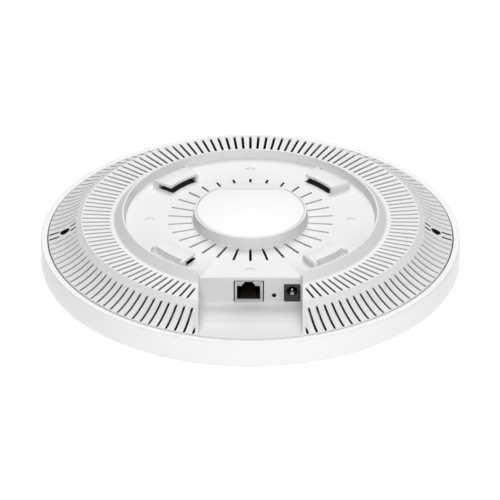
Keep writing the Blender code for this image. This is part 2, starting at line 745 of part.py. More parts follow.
def through(points, per_span):
    """Points along a smooth curve that passes through the given ones."""
    ends = [2 * points[0] - points[1], *points, 2 * points[-1] - points[-2]]
    route = []
    for a, b, c, d in zip(ends, ends[1:], ends[2:], ends[3:]):
        for i in range(per_span):
            t = i / per_span
            cubic = (3 * b - a - 3 * c + d) * t**3 + (2 * a - 5 * b + 4 * c - d) * t**2
            route.append((cubic + (c - a) * t + 2 * b) / 2)
    return route + [points[-1]]


def make_leads(grey, gold):
    """Each lead leaves an antenna, goes round the edge of the spreader and plugs in on the board."""
    plug_z = PART_ON_BOARD_Z
    outside = SPREADER_RADIUS + 2.5
    route = [
        (ANTENNA_RADIUS + 1.6, -14.5),
        (ANTENNA_RADIUS + 5, -14.5),
        (outside, -11.5),
        (outside + 0.8, -6.5),
        (outside - 3, -2.2),
        (BOARD_RADIUS, -1.2),
        (LEAD_PLUG_RADIUS + 2.2, plug_z + 1),
    ]
    for number, azimuth in enumerate(ANTENNA_AZIMUTHS, 1):
        curve = bpy.data.curves.new(f"antenna_lead_{number}", "CURVE")
        curve.dimensions = "3D"
        curve.bevel_depth = LEAD_DIAMETER / 2 * MM
        curve.bevel_resolution = 2
        curve.use_fill_caps = True
        points = through([Vector((r, 0, z)) for r, z in route], 3)
        spline = curve.splines.new("POLY")
        spline.points.add(len(points) - 1)
        for target, point in zip(spline.points, points):
            target.co = (*(point * MM), 1)
        curve.materials.append(grey)
        lead = bpy.data.objects.new(curve.name, curve)
        bpy.context.scene.collection.objects.link(lead)
        lead.parent = bpy.data.objects["frame"]
        lead.rotation_euler.z = azimuth
        plug = Matrix.Rotation(azimuth, 3, "Z") @ Vector((LEAD_PLUG_RADIUS, 0, 0))
        bm = bmesh.new()
        rod(bm, plug.to_2d(), 1.5, plug_z, plug_z + 1.5, 12)
        add_object(f"antenna_plug_{number}", bm, gold)


# ---------------------------------------------------------------- screws


def screw(bm, centre, head_z, tip_z):
    """A round-headed screw with a driver socket. The head is at head_z, the tip at tip_z."""
    away = math.copysign(1, head_z - tip_z)
    under = head_z - away * SCREW_HEAD_HEIGHT
    profile = [
        (0, head_z - away * 0.9),
        (1.0, head_z - away * 0.9),
        (1.0, head_z),
        (SCREW_HEAD_RADIUS - 0.5, head_z),
        (SCREW_HEAD_RADIUS, head_z - away * 0.6),
        (SCREW_HEAD_RADIUS, under),
        (SHANK_RADIUS, under),
        (SHANK_RADIUS, tip_z + away * 0.8),
        (0, tip_z),
    ]
    lathe(bm, profile, 12, centre)


def make_screws(steel):
    for number, well in enumerate(WELLS, 1):
        bm = bmesh.new()
        screw(bm, well, WELL_SEAT_Z + GAP + SCREW_HEAD_HEIGHT, -15)
        add_object(f"cover_screw_{number}", bm, steel)
    for number, post in enumerate(BOARD_POSTS, 1):
        bm = bmesh.new()
        screw(bm, post, SPREADER_BOTTOM_Z - GAP - SCREW_HEAD_HEIGHT, 3)
        add_object(f"board_screw_{number}", bm, steel)


def main():
    clear_scene()
    frame = bpy.data.objects.new("frame", None)
    bpy.context.scene.collection.objects.link(frame)
    frame.location.z = -HOOK_SEAT_Z * MM
    white = finish("white_plastic", (0.88, 0.88, 0.87), 0.5)
    paper = finish("label_white", (0.95, 0.95, 0.95), 0.6)
    guide = finish("guide", (0.5, 0.5, 0.5), 0.5)
    green = finish("board_green", (0.02, 0.16, 0.07), 0.45)
    aluminium = finish("aluminium", (0.75, 0.76, 0.77), 0.4, 1.0)
    chip_black = finish("chip_black", (0.02, 0.02, 0.02), 0.5)
    pad_grey = finish("thermal_pad", (0.35, 0.42, 0.55), 0.8)
    tin = finish("tinned_steel", (0.7, 0.7, 0.68), 0.35, 1.0)
    nickel = finish("nickel", (0.72, 0.71, 0.69), 0.3, 1.0)
    gold = finish("gold", (0.9, 0.68, 0.3), 0.25, 1.0)
    black = finish("black_plastic", (0.03, 0.03, 0.03), 0.45)
    ferrite = finish("ferrite", (0.09, 0.09, 0.1), 0.7)
    tape = finish("coil_tape", (0.85, 0.65, 0.1), 0.5)
    can_blue = finish("capacitor_sleeve", (0.05, 0.07, 0.2), 0.4)
    amber = finish("indicator", (0.9, 0.88, 0.8), 0.3)
    clear = finish("clear_plastic", (0.93, 0.95, 0.97), 0.1)
    grey = finish("lead_grey", (0.25, 0.25, 0.26), 0.5)
    steel = finish("screw_steel", (0.55, 0.55, 0.57), 0.35, 1.0)

    make_front_cover(white, guide)
    make_rear_cover(white, guide)
    make_label(paper)
    make_main_board(green, guide)
    make_heat_spreader(aluminium, guide)
    make_chips(chip_black, pad_grey)
    make_radios(chip_black, tin, guide)
    make_network_transformer(chip_black)
    make_power_transformer(ferrite, tape, guide)
    make_capacitors(can_blue)
    make_status_light(chip_black, clear)
    make_network_socket(nickel, black, gold, amber, guide)
    make_power_socket(black, nickel, guide)
    make_reset_button(black, grey, guide)
    make_antennas(tin, guide)
    make_leads(grey, gold)
    make_screws(steel)


main()
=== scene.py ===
"""The looks of the ceiling access point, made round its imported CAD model.

Lengths are in millimetres and heights are measured from the flat ring on the rim, as in the CAD.
Each mesh becomes metres in the model's own frame when its object is made.
"""

import math

import bmesh
import bpy
from mathutils import Matrix, Vector


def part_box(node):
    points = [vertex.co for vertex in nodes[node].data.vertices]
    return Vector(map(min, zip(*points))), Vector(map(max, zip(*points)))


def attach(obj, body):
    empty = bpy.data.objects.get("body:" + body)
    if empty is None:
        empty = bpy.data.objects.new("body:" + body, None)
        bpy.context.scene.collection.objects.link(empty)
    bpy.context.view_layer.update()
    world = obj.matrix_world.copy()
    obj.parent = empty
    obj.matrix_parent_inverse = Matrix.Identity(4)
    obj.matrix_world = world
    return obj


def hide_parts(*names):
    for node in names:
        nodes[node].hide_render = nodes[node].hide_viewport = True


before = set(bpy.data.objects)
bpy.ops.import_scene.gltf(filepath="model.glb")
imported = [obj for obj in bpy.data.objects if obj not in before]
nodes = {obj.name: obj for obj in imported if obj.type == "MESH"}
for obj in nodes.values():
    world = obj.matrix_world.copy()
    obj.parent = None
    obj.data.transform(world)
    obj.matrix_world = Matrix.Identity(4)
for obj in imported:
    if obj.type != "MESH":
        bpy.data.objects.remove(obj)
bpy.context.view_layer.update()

MM = 0.001
RIM_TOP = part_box("front_cover")[1].z


def span(node):
    """The lowest and highest corner of a CAD node, in this script's units."""
    low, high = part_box(node)
    return [(corner - Vector((0, 0, RIM_TOP))) / MM for corner in (low, high)]


def middle(node):
    low, high = span(node)
    return (low + high) / 2


# Covers
RIM_RADIUS = span("front_cover")[1].x
FACE_DEPTH = -span("front_cover")[0].z
FACE_EDGE_RADIUS = RIM_RADIUS - 2.1
FACE_EDGE_Z = -17.1
BAND_HEIGHT = 14.0
WALL = 2.0
COVER_RADIUS = span("rear_cover")[1].x
COVER_EDGE_Z = 0.4
GROOVE = 0.55
LEDGE_RADIUS = COVER_RADIUS - 1.9
COVE_CENTRE = (128.1, 39.0)
COVE_RADIUS = 40.1
COVE_TOP_RADIUS = 99.6
PLATEAU_RADIUS = 98.0
PLATEAU_Z = 12.3
COLLAR_FOOT_RADIUS = 78.7
LIP_RADIUS = 74.3
LIP_WIDTH = 1.0
LIP_Z = 17.4
RECESS_RADIUS = 72.0
FLOOR_Z = 12.4
BOSS_FOOT_RADIUS = 33.4
BOSS_RADIUS = 32.7
BOSS_Z = span("rear_cover")[1].z
BOSS_EDGE = 0.35
STEP = 0.02  # keeps the faces of joined solids out of one plane
CUT_HEIGHTS = (-20, 30)  # past the cover, above and below
CUT_OUTSIDE = -140  # past the rim

# Vents
VENT_COUNT = 130
VENT_PITCH = 2 * math.pi / VENT_COUNT
FIRST_VENT = math.pi / 2
RING_STEPS = 4  # points of a ring for each vent
RING_POINTS = VENT_COUNT * RING_STEPS
VENT_WIDTH = 1.5
PLATEAU_VENT = (81.3, 97.7)
COVE_VENT = (101.0, 116.8)
SHORTEST_VENT = 2.4
# Below this depth the walls of the vents take the black painted shade.
PAINTED_SHADE_DEPTH = 0.95
FLOOR_VENT_COUNT = 30
FLOOR_VENT = (33.8, 47.8)
BAFFLE_RADII = (99.2, 100.0)
BAFFLE_ANGLES = (math.radians(-70), math.radians(250))
BAFFLE_HEIGHTS = (5.5, 9.4)

# Hooks
HOOK_AZIMUTHS = [math.radians(44.8 + 90 * k) for k in range(4)]
HOOK_HALF_ANGLE = math.radians(10.2)
HOOK_END_ANGLE = math.radians(1.9)
HOOK_INNER_RADIUS = 56.0
HOOK_SLOT = (54.5, 64.9)
HOOK_WALL_RADIUS = 66.1
HOOK_RIB_RADIUS = 69.0
HOOK_TOP_Z = 16.5
HOOK_SEAT_Z = -RIM_TOP / MM
HOOK_ROUNDING = 1.7
HOOK_EDGE = 0.25

# Small marks and wells
MARK_RADIUS = 2.7
MARK_PLACE = 58.3
MARK_DEPTH = 0.45
WELLS = [middle("cover_screw_1").to_2d(), middle("cover_screw_2").to_2d()]
WELL_RADIUS = 2.75
WELL_TUBE_RADIUS = 4.2
WELL_SEAT_Z = -6.0
WELL_BOTTOM_Z = -8.0
WELL_BORE_RADIUS = 1.5
WELL_LAND = (3.0, 3.2)  # from a well's centre to the vents on either side of it

# Cable notch
NOTCH_HALF_WIDTH = 30.2
NOTCH_WALL = 1.8
NOTCH_DRAFT = 0.5
NOTCH_FLOOR_Z = -4.55
PANEL_Y = -66.8
PANEL_EDGE = 0.9
CORNER_BLOCK = 4.0
RAMP_Y = -86.8
RAMP_BEND = 0.3
VENT_CLEARANCE = NOTCH_HALF_WIDTH + 1.7
SHIELD_LOW, SHIELD_HIGH = span("rj45_shield")
POWER_LOW, POWER_HIGH = span("dc_jack_body")
PINHOLE = middle("reset_plunger")
PINHOLE_RADIUS = 1.3
SHEET = 0.4
MOUTH_X = middle("rj45_contact_1").x / 2 + middle("rj45_contact_8").x / 2
MOUTH_STEPS = [(13.5, -2.2, 6.6), (7.5, 6.6, 8.0), (5.1, 8.0, 9.3)]  # width, low, high
MOUTH_DEPTH = 14.0
CORNER_RELIEF = 0.75
SHIELD_GAP = 0.7
POWER_GAP = 0.25
BARREL_X = middle("dc_jack_pin").x
BARREL_Z = middle("dc_jack_pin").z
BARREL_RADIUS = 3.2
BARREL_DEPTH = 9.5

# Label
LABEL_RADIUS = span("label_plate")[1].x
LABEL_CHORD_Y = span("label_plate")[1].y
LABEL_THICKNESS = 0.3
LABEL_GAP = 0.4
LABEL_CORNER = 1.0


# -------------------- mesh tools


def mesh_of(bm, name):
    mesh = bpy.data.meshes.new(name)
    bm.to_mesh(mesh)
    bm.free()
    return mesh


def add_object(name, data):
    item = bpy.data.objects.new(name, data)
    bpy.context.scene.collection.objects.link(item)
    return item


def add_piece(name, bm, material, replaced, body="housing", sharp=30, modifiers=(), inside=None):
    """Makes an object of bm in the model's frame, applies its modifiers and lets it ride on body.

    The faces for which inside gives True take the second of two materials. sharp is in degrees.
    """
    bmesh.ops.recalc_face_normals(bm, faces=bm.faces)
    if inside:
        for face in bm.faces:
            face.material_index = int(inside(face.calc_center_median(), face.normal))
    bmesh.ops.transform(bm, matrix=Matrix.Translation((0, 0, RIM_TOP)) @ Matrix.Scale(MM, 4), verts=bm.verts)
    piece = add_object(name, mesh_of(bm, name))
    for kind, settings in modifiers:
        modifier = piece.modifiers.new(kind, kind)
        for key, value in settings.items():
            setattr(modifier, key, value)
    if modifiers:
        depsgraph = bpy.context.evaluated_depsgraph_get()
        final = bpy.data.meshes.new_from_object(piece.evaluated_get(depsgraph))
        piece.modifiers.clear()
        piece.data = final
        final.name = name
    for each in material if isinstance(material, tuple) else (material,):
        piece.data.materials.append(each)
    piece.data.shade_smooth()
    piece.data.set_sharp_from_angle(angle=math.radians(sharp))
    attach(piece, body)
    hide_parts(*replaced)


def rounding(width):
    """A Bevel modifier for add_piece. width is in millimetres."""
    settings = {
        "width": width * MM,
        "segments": 2,
        "limit_method": "ANGLE",
        "angle_limit": math.radians(40),
        "harden_normals": False,
    }
    return "BEVEL", settings


def cut(bm, cutter, operation="DIFFERENCE"):
    """Cuts bm with another bmesh, or joins the two, and returns the result as a new bmesh."""
    pair = []
    for part in (bm, cutter):
        bmesh.ops.recalc_face_normals(part, faces=part.faces)
        pair.append(add_object("cut", mesh_of(part, "cut")))
    modifier = pair[0].modifiers.new("cut", "BOOLEAN")
    modifier.operation = operation
    modifier.solver = "EXACT"
    modifier.object = pair[1]
    depsgraph = bpy.context.evaluated_depsgraph_get()
    result = bmesh.new()
    result.from_object(pair[0], depsgraph)
    for part in pair:
        mesh = part.data
        bpy.data.objects.remove(part)
        bpy.data.meshes.remove(mesh)
    return result


def join(bm, other):
    """Adds the other bmesh's solids to bm."""
    bmesh.ops.recalc_face_normals(other, faces=other.faces)
    mesh = mesh_of(other, "join")
    bm.from_mesh(mesh)
    bpy.data.meshes.remove(mesh)


def polar(radius, angle, z=0.0):
    return Vector((radius * math.cos(angle), radius * math.sin(angle), z))


def arc(centre, radius, start, end, steps):
    """Points along an arc in a plane, with both its ends. Angles are in degrees."""
    angles = [math.radians(start + (end - start) * i / steps) for i in range(steps + 1)]
    return [(centre[0] + radius * math.cos(a), centre[1] + radius * math.sin(a)) for a in angles]


def circle(centre, radius, sides):
    return arc(centre, radius, 0, 360, sides)[:-1]


def sector(radii, angles, steps):
    """The outline of a stretch of a flat ring. Angles are in radians."""
    ends = [math.degrees(a) for a in angles]
    return arc((0, 0), radii[1], *ends, steps) + arc((0, 0), radii[0], *ends[::-1], steps)


def rounded_box(x, z, radius, steps=4):
    """A rectangle with round corners."""
    corners = [(x[1], z[1], 0), (x[0], z[1], 90), (x[0], z[0], 180), (x[1], z[0], 270)]
    outline = []
    for corner_x, corner_z, start in corners:
        inward_x = radius if corner_x == x[0] else -radius
        inward_z = radius if corner_z == z[0] else -radius
        outline += arc((corner_x + inward_x, corner_z + inward_z), radius, start, start + 90, steps)
    return outline


def loft(bm, rings):
    """Skins rings of points that have the same number of points, and closes the two ends."""
    loops = [[bm.verts.new(point) for point in ring] for ring in rings]
    for low, high in zip(loops, loops[1:]):
        for i in range(len(low)):
            bm.faces.new((low[i - 1], low[i], high[i], high[i - 1]))
    bm.faces.new(reversed(loops[0]))
    bm.faces.new(loops[-1])


def prism_z(bm, outline, low, high):
    loft(bm, [[(x, y, z) for x, y in outline] for z in (low, high)])


def prism_y(bm, outline, low, high):
    loft(bm, [[(x, y, z) for x, z in outline] for y in (low, high)])


def prism_x(bm, outline, low, high):
    loft(bm, [[(x, y, z) for y, z in outline] for x in (low, high)])


def lathe(bm, profile, sides, place=Matrix.Identity(4)):
    """Turns (radius, z) points about Z. An open profile starts and ends on the axis."""
    loops = []
    for radius, z in profile:
        if radius < 1e-6:
            loops.append([bm.verts.new(place @ Vector((0, 0, z)))])
        else:
            turn = [2 * math.pi * i / sides for i in range(sides)]
            loops.append([bm.verts.new(place @ polar(radius, a, z)) for a in turn])
    if profile[0][0] > 0:
        loops.append(loops[0])
    for low, high in zip(loops, loops[1:]):
        for i in range(sides):
            below = [low[i - 1], low[i]] if len(low) > 1 else low
            above = [high[i], high[i - 1]] if len(high) > 1 else high
            bm.faces.new(below + above)


def solid(fill, *shape):
    """A new bmesh filled by one of the functions above."""
    bm = bmesh.new()
    fill(bm, *shape)
    return bm


# -------------------- rear cover


def cove_z(radius):
    """Height of the hollow cove, an arc that rises towards the middle."""
    run = radius - COVE_CENTRE[0]
    return COVE_CENTRE[1] - math.sqrt(COVE_RADIUS**2 - run**2)


def ring(bm, radius, z):
    step = 2 * math.pi / RING_POINTS
    return [bm.verts.new(polar(radius, FIRST_VENT + i * step, z)) for i in range(RING_POINTS)]


def skin(bm, inner, outer):
    for i in range(len(inner)):
        bm.faces.new((inner[i - 1], inner[i], outer[i], outer[i - 1]))


def skin_profile(bm, first, profile):
    """Carries the surface on from a ring through (radius, z) points, and returns the last ring."""
    for radius, z in profile:
        following = ring(bm, radius, z)
        skin(bm, first, following)
        first = following
    return first


def clear_of_notch(angle, radii):
    """Shortens a vent that would run into the cable notch. Returns None where none is left."""
    if math.sin(angle) > 0:
        return radii
    inner = max(radii[0], VENT_CLEARANCE / max(abs(math.cos(angle)), 1e-6))
    return (inner, radii[1]) if radii[1] - inner > SHORTEST_VENT else None


def clear_of_wells_and_notch(angle, radii):
    """Leaves out the vents beside the screw wells too, which rear_cuts makes in two stretches."""
    beside_well = abs(math.sin(angle)) < math.sin(VENT_PITCH)
    return None if beside_well else clear_of_notch(angle, radii)


def stations(radii, count):
    """Radii along the straight part of a vent."""
    start = radii[0] + VENT_WIDTH / 2
    end = radii[1] - VENT_WIDTH / 2
    return [start + (end - start) * i / (count - 1) for i in range(count)]


def vent_band(bm, inner, outer, full, height_at, vent_at, count):
    """Fills the stretch between two rings, with a round-ended slot in the middle of each sector."""
    half = VENT_WIDTH / 2
    side_radii = stations(full, count)
    posts = []
    for k in range(VENT_COUNT):
        angle = FIRST_VENT + (k - 0.5) * VENT_PITCH
        posts.append([bm.verts.new(polar(r, angle, height_at(r))) for r in side_radii])
    for k in range(VENT_COUNT):
        angle = FIRST_VENT + k * VENT_PITCH
        left = posts[k]
        right = posts[(k + 1) % VENT_COUNT]
        near = [inner[(k * RING_STEPS + j) % RING_POINTS] for j in range(-2, 3)]
        far = [outer[(k * RING_STEPS + j) % RING_POINTS] for j in range(-2, 3)]
        radii = vent_at(angle, full)
        if radii is None:
            for i in range(count - 1):
                bm.faces.new((left[i], left[i + 1], right[i + 1], right[i]))
            bm.faces.new([*near, right[0], left[0]])
            bm.faces.new([*far, right[-1], left[-1]])
            continue

        def at(along, across):
            radius = math.hypot(along, across)
            return bm.verts.new(polar(radius, angle + math.atan2(across, along), height_at(radius)))

        along = stations(radii, count)
        low = [at(r, -half) for r in along]
        high = [at(r, half) for r in along]
        cap = arc((0, 0), half, -45, 45, 2)
        tip = [at(along[-1] + x, y) for x, y in cap]
        root = [at(along[0] - x, y) for x, y in cap]
        for i in range(count - 1):
            bm.faces.new((left[i], low[i], low[i + 1], left[i + 1]))
            bm.faces.new((high[i], right[i], right[i + 1], high[i + 1]))
        for end, edge, i in ((tip, far, -1), (root, near, 0)):
            bm.faces.new((left[i], low[i], end[0], edge[1], edge[0]))
            bm.faces.new((end[0], end[1], edge[2], edge[1]))
            bm.faces.new((end[1], end[2], edge[3], edge[2]))
            bm.faces.new((end[2], high[i], right[i], edge[4], edge[3]))


def loop_edges(bm, points, z):
    """A closed loop of edges through (x, y) points."""
    verts = [bm.verts.new((x, y, z)) for x, y in points]
    return verts, [bm.edges.new((verts[i - 1], verts[i])) for i in range(len(verts))]


def edges_of(bm, verts):
    return [bm.edges.get((verts[i - 1], verts[i])) for i in range(len(verts))]


def slot_points(angle, radii, steps=6):
    """A slot with round ends, along a radius."""
    half = VENT_WIDTH / 2
    along = stations(radii, 2)
    turn = Matrix.Rotation(angle, 2)
    points = arc((along[1], 0), half, -90, 90, steps) + arc((along[0], 0), half, 90, 270, steps)
    return [tuple(turn @ Vector(point)) for point in points]


def sink(bm, verts, points, depth):
    """Lowers a flat bottom from a loop that is already there."""
    z = verts[0].co.z - depth
    lower = [bm.verts.new((x, y, z)) for x, y in points]
    skin(bm, verts, lower)
    bm.faces.new(lower)


def floor_and_boss(bm, wall_foot):
    """The flat floor of the recess with its openings, and the boss with the label's seat."""
    foot = ring(bm, BOSS_FOOT_RADIUS + 0.2, FLOOR_Z)
    edges = edges_of(bm, wall_foot)
    for k in range(FLOOR_VENT_COUNT):
        angle = FIRST_VENT + k * 2 * math.pi / FLOOR_VENT_COUNT
        edges += loop_edges(bm, slot_points(angle, FLOOR_VENT), FLOOR_Z)[1]
    for azimuth in HOOK_AZIMUTHS:
        angles = (azimuth - HOOK_HALF_ANGLE, azimuth + HOOK_HALF_ANGLE)
        edges += loop_edges(bm, sector(HOOK_SLOT, angles, 16), FLOOR_Z)[1]
    for k in range(4):
        points = circle(polar(MARK_PLACE, k * math.pi / 2), MARK_RADIUS, 40)
        mark, mark_edges = loop_edges(bm, points, FLOOR_Z)
        edges += mark_edges
        sink(bm, mark, points, MARK_DEPTH)
    slope = [(BOSS_FOOT_RADIUS, FLOOR_Z + 0.2), (BOSS_RADIUS + 0.05, BOSS_Z - BOSS_EDGE - 0.1)]
    edge = arc((BOSS_RADIUS - BOSS_EDGE, BOSS_Z - BOSS_EDGE), BOSS_EDGE, 5, 90, 4)
    top = skin_profile(bm, foot, [(BOSS_FOOT_RADIUS + 0.06, FLOOR_Z + 0.06), *slope, *edge])
    bmesh.ops.triangle_fill(bm, use_beauty=True, edges=edges + edges_of(bm, foot))
    points = label_outline(LABEL_GAP)
    seat, seat_edges = loop_edges(bm, points, BOSS_Z)
    bmesh.ops.triangle_fill(bm, use_beauty=True, edges=seat_edges + edges_of(bm, top))
    sink(bm, seat, points, LABEL_THICKNESS + 0.4)


def label_outline(grow=0.0):
    """A round plate with one straight side and two eased corners."""
    radius = LABEL_RADIUS + grow
    chord = LABEL_CHORD_Y + grow
    corner = LABEL_CORNER
    middle_y = chord - corner
    middle_x = math.sqrt((radius - corner) ** 2 - middle_y**2)
    tangent = math.degrees(math.atan2(middle_y, middle_x))
    right = arc((middle_x, middle_y), corner, tangent, 90, 5)
    left = arc((-middle_x, middle_y), corner, 90, 180 - tangent, 5)
    round_side = arc((0, 0), radius, 180 - tangent, 360 + tangent, 110)
    return left + round_side[1:-1] + right


def crest_profile():
    """A curve that carries the cove's slope over into the flat top of the raised ring."""
    slope = cove_z(COVE_TOP_RADIUS) - cove_z(COVE_TOP_RADIUS + 1)
    start = Vector((COVE_TOP_RADIUS, cove_z(COVE_TOP_RADIUS)))
    corner = Vector((COVE_TOP_RADIUS - (PLATEAU_Z - start.y) / slope, PLATEAU_Z))
    end = Vector((PLATEAU_RADIUS, PLATEAU_Z))
    steps = 5
    profile = []
    for i in range(1, steps + 1):
        t = i / steps
        profile.append(tuple(start * (1 - t) ** 2 + corner * 2 * t * (1 - t) + end * t**2))
    return profile


def rear_skin():
    """The cover's upper surface with its slots, thickened straight down."""
    bm = bmesh.new()
    edge = ring(bm, COVER_RADIUS, COVER_EDGE_Z - 0.3)
    start = COVER_RADIUS - 0.3
    edge = skin_profile(bm, edge, [(COVER_RADIUS - 0.1, COVER_EDGE_Z - 0.05), (start, cove_z(start))])
    cove_top = ring(bm, COVE_TOP_RADIUS, cove_z(COVE_TOP_RADIUS))
    vent_band(bm, cove_top, edge, COVE_VENT, cove_z, clear_of_wells_and_notch, 16)
    plateau_edge = skin_profile(bm, cove_top, crest_profile())
    collar_foot = ring(bm, COLLAR_FOOT_RADIUS + 0.8, PLATEAU_Z)
    vent_band(bm, collar_foot, plateau_edge, PLATEAU_VENT, lambda radius: PLATEAU_Z, clear_of_notch, 3)
    lip = [(LIP_RADIUS + 0.25, LIP_Z - 0.25), (LIP_RADIUS + 0.05, LIP_Z - 0.05), (LIP_RADIUS - 0.2, LIP_Z)]
    back = LIP_RADIUS - LIP_WIDTH
    lip += [(back + 0.3, LIP_Z), (back + 0.07, LIP_Z - 0.07), (back - 0.1, LIP_Z - 0.35)]
    foot = [(COLLAR_FOOT_RADIUS + 0.3, PLATEAU_Z + 0.1), (COLLAR_FOOT_RADIUS - 0.4, PLATEAU_Z + 0.6)]
    wall_foot = [(RECESS_RADIUS + 0.3, FLOOR_Z + 0.5), (RECESS_RADIUS + 0.15, FLOOR_Z + 0.15)]
    wall_foot.append((RECESS_RADIUS - 0.2, FLOOR_Z))
    floor_edge = skin_profile(bm, collar_foot, foot + lip + wall_foot)
    floor_and_boss(bm, floor_edge)
    made = bmesh.ops.extrude_face_region(bm, geom=bm.faces[:], use_keep_orig=True)
    lower = {item for item in made["geom"] if isinstance(item, bmesh.types.BMVert)}
    bmesh.ops.translate(bm, verts=list(lower), vec=(0, 0, -WALL))
    # Each wall between the two surfaces gets an edge round it, where the black painted shade begins.
    upright = [edge for edge in bm.edges if (edge.verts[0] in lower) != (edge.verts[1] in lower)]
    made = bmesh.ops.subdivide_edges(bm, edges=upright, cuts=1)
    added = [item for item in made["geom_inner"] if isinstance(item, bmesh.types.BMVert)]
    bmesh.ops.translate(bm, verts=added, vec=(0, 0, WALL / 2 - PAINTED_SHADE_DEPTH))
    return bm


def rear_cuts():
    """What is taken out of the skin: the cable notch, the wells and the short vents beside them."""
    bm = bmesh.new()
    edge = arc((PANEL_Y + PANEL_EDGE, FLOOR_Z - PANEL_EDGE), PANEL_EDGE, 180, 90, 5)
    low, high = CUT_HEIGHTS
    outline = [(PANEL_Y + STEP, low), *edge[1:], (PANEL_Y + PANEL_EDGE, high)]
    outline += [(CUT_OUTSIDE, high), (CUT_OUTSIDE, low)]
    prism_x(bm, outline, -NOTCH_HALF_WIDTH, NOTCH_HALF_WIDTH)
    for well in WELLS:
        prism_z(bm, circle(well, WELL_RADIUS, 48), low, high)
        for side in (-0.5, 0.5):
            angle = math.atan2(well.y, well.x) + side * VENT_PITCH
            inner = (COVE_VENT[0], well.length - WELL_LAND[0])
            outer = (well.length + WELL_LAND[1], COVE_VENT[1])
            for radii in (inner, outer):
                prism_z(bm, slot_points(angle, radii), low, high)
    return bm


def tray_floor(bm, half, inner_y, under):
    """The floor of the cable notch, with a ramp that rises to the cover's round edge."""
    columns = 40
    sections = []
    for i in range(columns + 1):
        x = -half + 2 * half * i / columns
        end = -math.sqrt((COVER_RADIUS - 0.05) ** 2 - x * x)
        upper = [(inner_y, NOTCH_FLOOR_Z), (RAMP_Y + RAMP_BEND, NOTCH_FLOOR_Z)]
        upper += [(RAMP_Y, NOTCH_FLOOR_Z + 0.01), (RAMP_Y - RAMP_BEND, NOTCH_FLOOR_Z + 0.05)]
        upper += [(end + 0.4, COVER_EDGE_Z - 0.08), (end, COVER_EDGE_Z - 0.4)]
        lower = [(end, COVER_EDGE_Z - WALL), (RAMP_Y, under), (inner_y, under)]
        sections.append([(x, y, z) for y, z in upper + lower])
    loft(bm, sections)


def tray_side(bm, side, half, inner_y, under):
    """A wall at one side of the notch, which keeps just under the cover's upper surface."""
    end_y = 0.1 - math.sqrt(COVER_RADIUS**2 - NOTCH_HALF_WIDTH**2)
    face = NOTCH_HALF_WIDTH - STEP
    count = 30
    sections = []
    for i in range(count + 1):
        y = inner_y + (end_y - inner_y) * i / count
        top = outer_z(math.hypot(NOTCH_HALF_WIDTH, y)) - 0.8
        outer_top = min(top, outer_z(math.hypot(half, y)) - 0.8)
        outline = [(face, top), (face - NOTCH_DRAFT, under), (half, under), (half, outer_top)]
        sections.append([(side * x, y, z) for x, z in outline])
    loft(bm, sections)


def connector_panel(half, inner_y, under):
    """The upright panel at the back of the notch, with the openings for the sockets."""
    outline = [(-half, under), (half, under), (half, FLOOR_Z - 1), (-half, FLOOR_Z - 1)]
    panel = solid(prism_y, outline, PANEL_Y, inner_y)
    holes = bmesh.new()
    depth = (PANEL_Y - 1, inner_y + 1)
    x = (SHIELD_LOW.x - SHIELD_GAP, SHIELD_HIGH.x + SHIELD_GAP)
    z = (NOTCH_FLOOR_Z + 0.01, SHIELD_HIGH.z + SHIELD_GAP)
    prism_y(holes, rounded_box(x, z, 0.4), *depth)
    x = (POWER_LOW.x - POWER_GAP, POWER_HIGH.x + POWER_GAP)
    z = (POWER_LOW.z - POWER_GAP, POWER_HIGH.z + POWER_GAP)
    prism_y(holes, rounded_box(x, z, 0.3), *depth)
    prism_y(holes, circle((PINHOLE.x, PINHOLE.z), PINHOLE_RADIUS, 40), *depth)
    return cut(panel, holes)


def notch_tray():
    """What closes the cable notch: its floor, its two sides and the panel with the sockets' openings."""
    bm = bmesh.new()
    half = NOTCH_HALF_WIDTH + NOTCH_WALL
    inner_y = PANEL_Y + WALL
    under = NOTCH_FLOOR_Z - WALL
    tray_floor(bm, half, inner_y, under)
    for side in (-1, 1):
        tray_side(bm, side, half, inner_y, under)
    # A block fills each top corner of the panel, under the foot of the recess's wall.
    low = FLOOR_Z - 1.5
    edge = arc((PANEL_Y + PANEL_EDGE + STEP, FLOOR_Z - PANEL_EDGE - STEP), PANEL_EDGE, 180, 90, 5)
    block = [(PANEL_Y + STEP, low), *edge, (inner_y, FLOOR_Z - STEP), (inner_y, low)]
    prism_x(bm, block, -half, CORNER_BLOCK - half)
    prism_x(bm, block, half - CORNER_BLOCK, half)
    join(bm, connector_panel(half, inner_y, under))
    return bm


def outer_z(radius):
    """Height of the cover's upper surface outside its recess."""
    if radius > PLATEAU_RADIUS + 0.8:
        return min(cove_z(radius), PLATEAU_Z)
    if radius > COLLAR_FOOT_RADIUS:
        return PLATEAU_Z
    if radius > LIP_RADIUS:
        return LIP_Z - (radius - LIP_RADIUS) / (COLLAR_FOOT_RADIUS - LIP_RADIUS) * (LIP_Z - PLATEAU_Z)
    return FLOOR_Z


def sweep(bm, sections):
    """Skins (angle, outline) sections of (radius, z) points about the axis."""
    loft(bm, [[polar(r, angle, z) for r, z in outline] for angle, outline in sections])


def rib_outline(radii, low, shrink):
    """A section through a rib, with a round top corner outside, shrunk towards its rounded end."""
    top = HOOK_TOP_Z - STEP - shrink
    outer = radii[1] - 0.5 * shrink
    corner = min(HOOK_ROUNDING, top - low - 0.1)
    edge = arc((outer - corner, top - corner), corner, 0, 90, 6)
    return [(outer, low), *edge, (radii[0], top), (radii[0], low)]


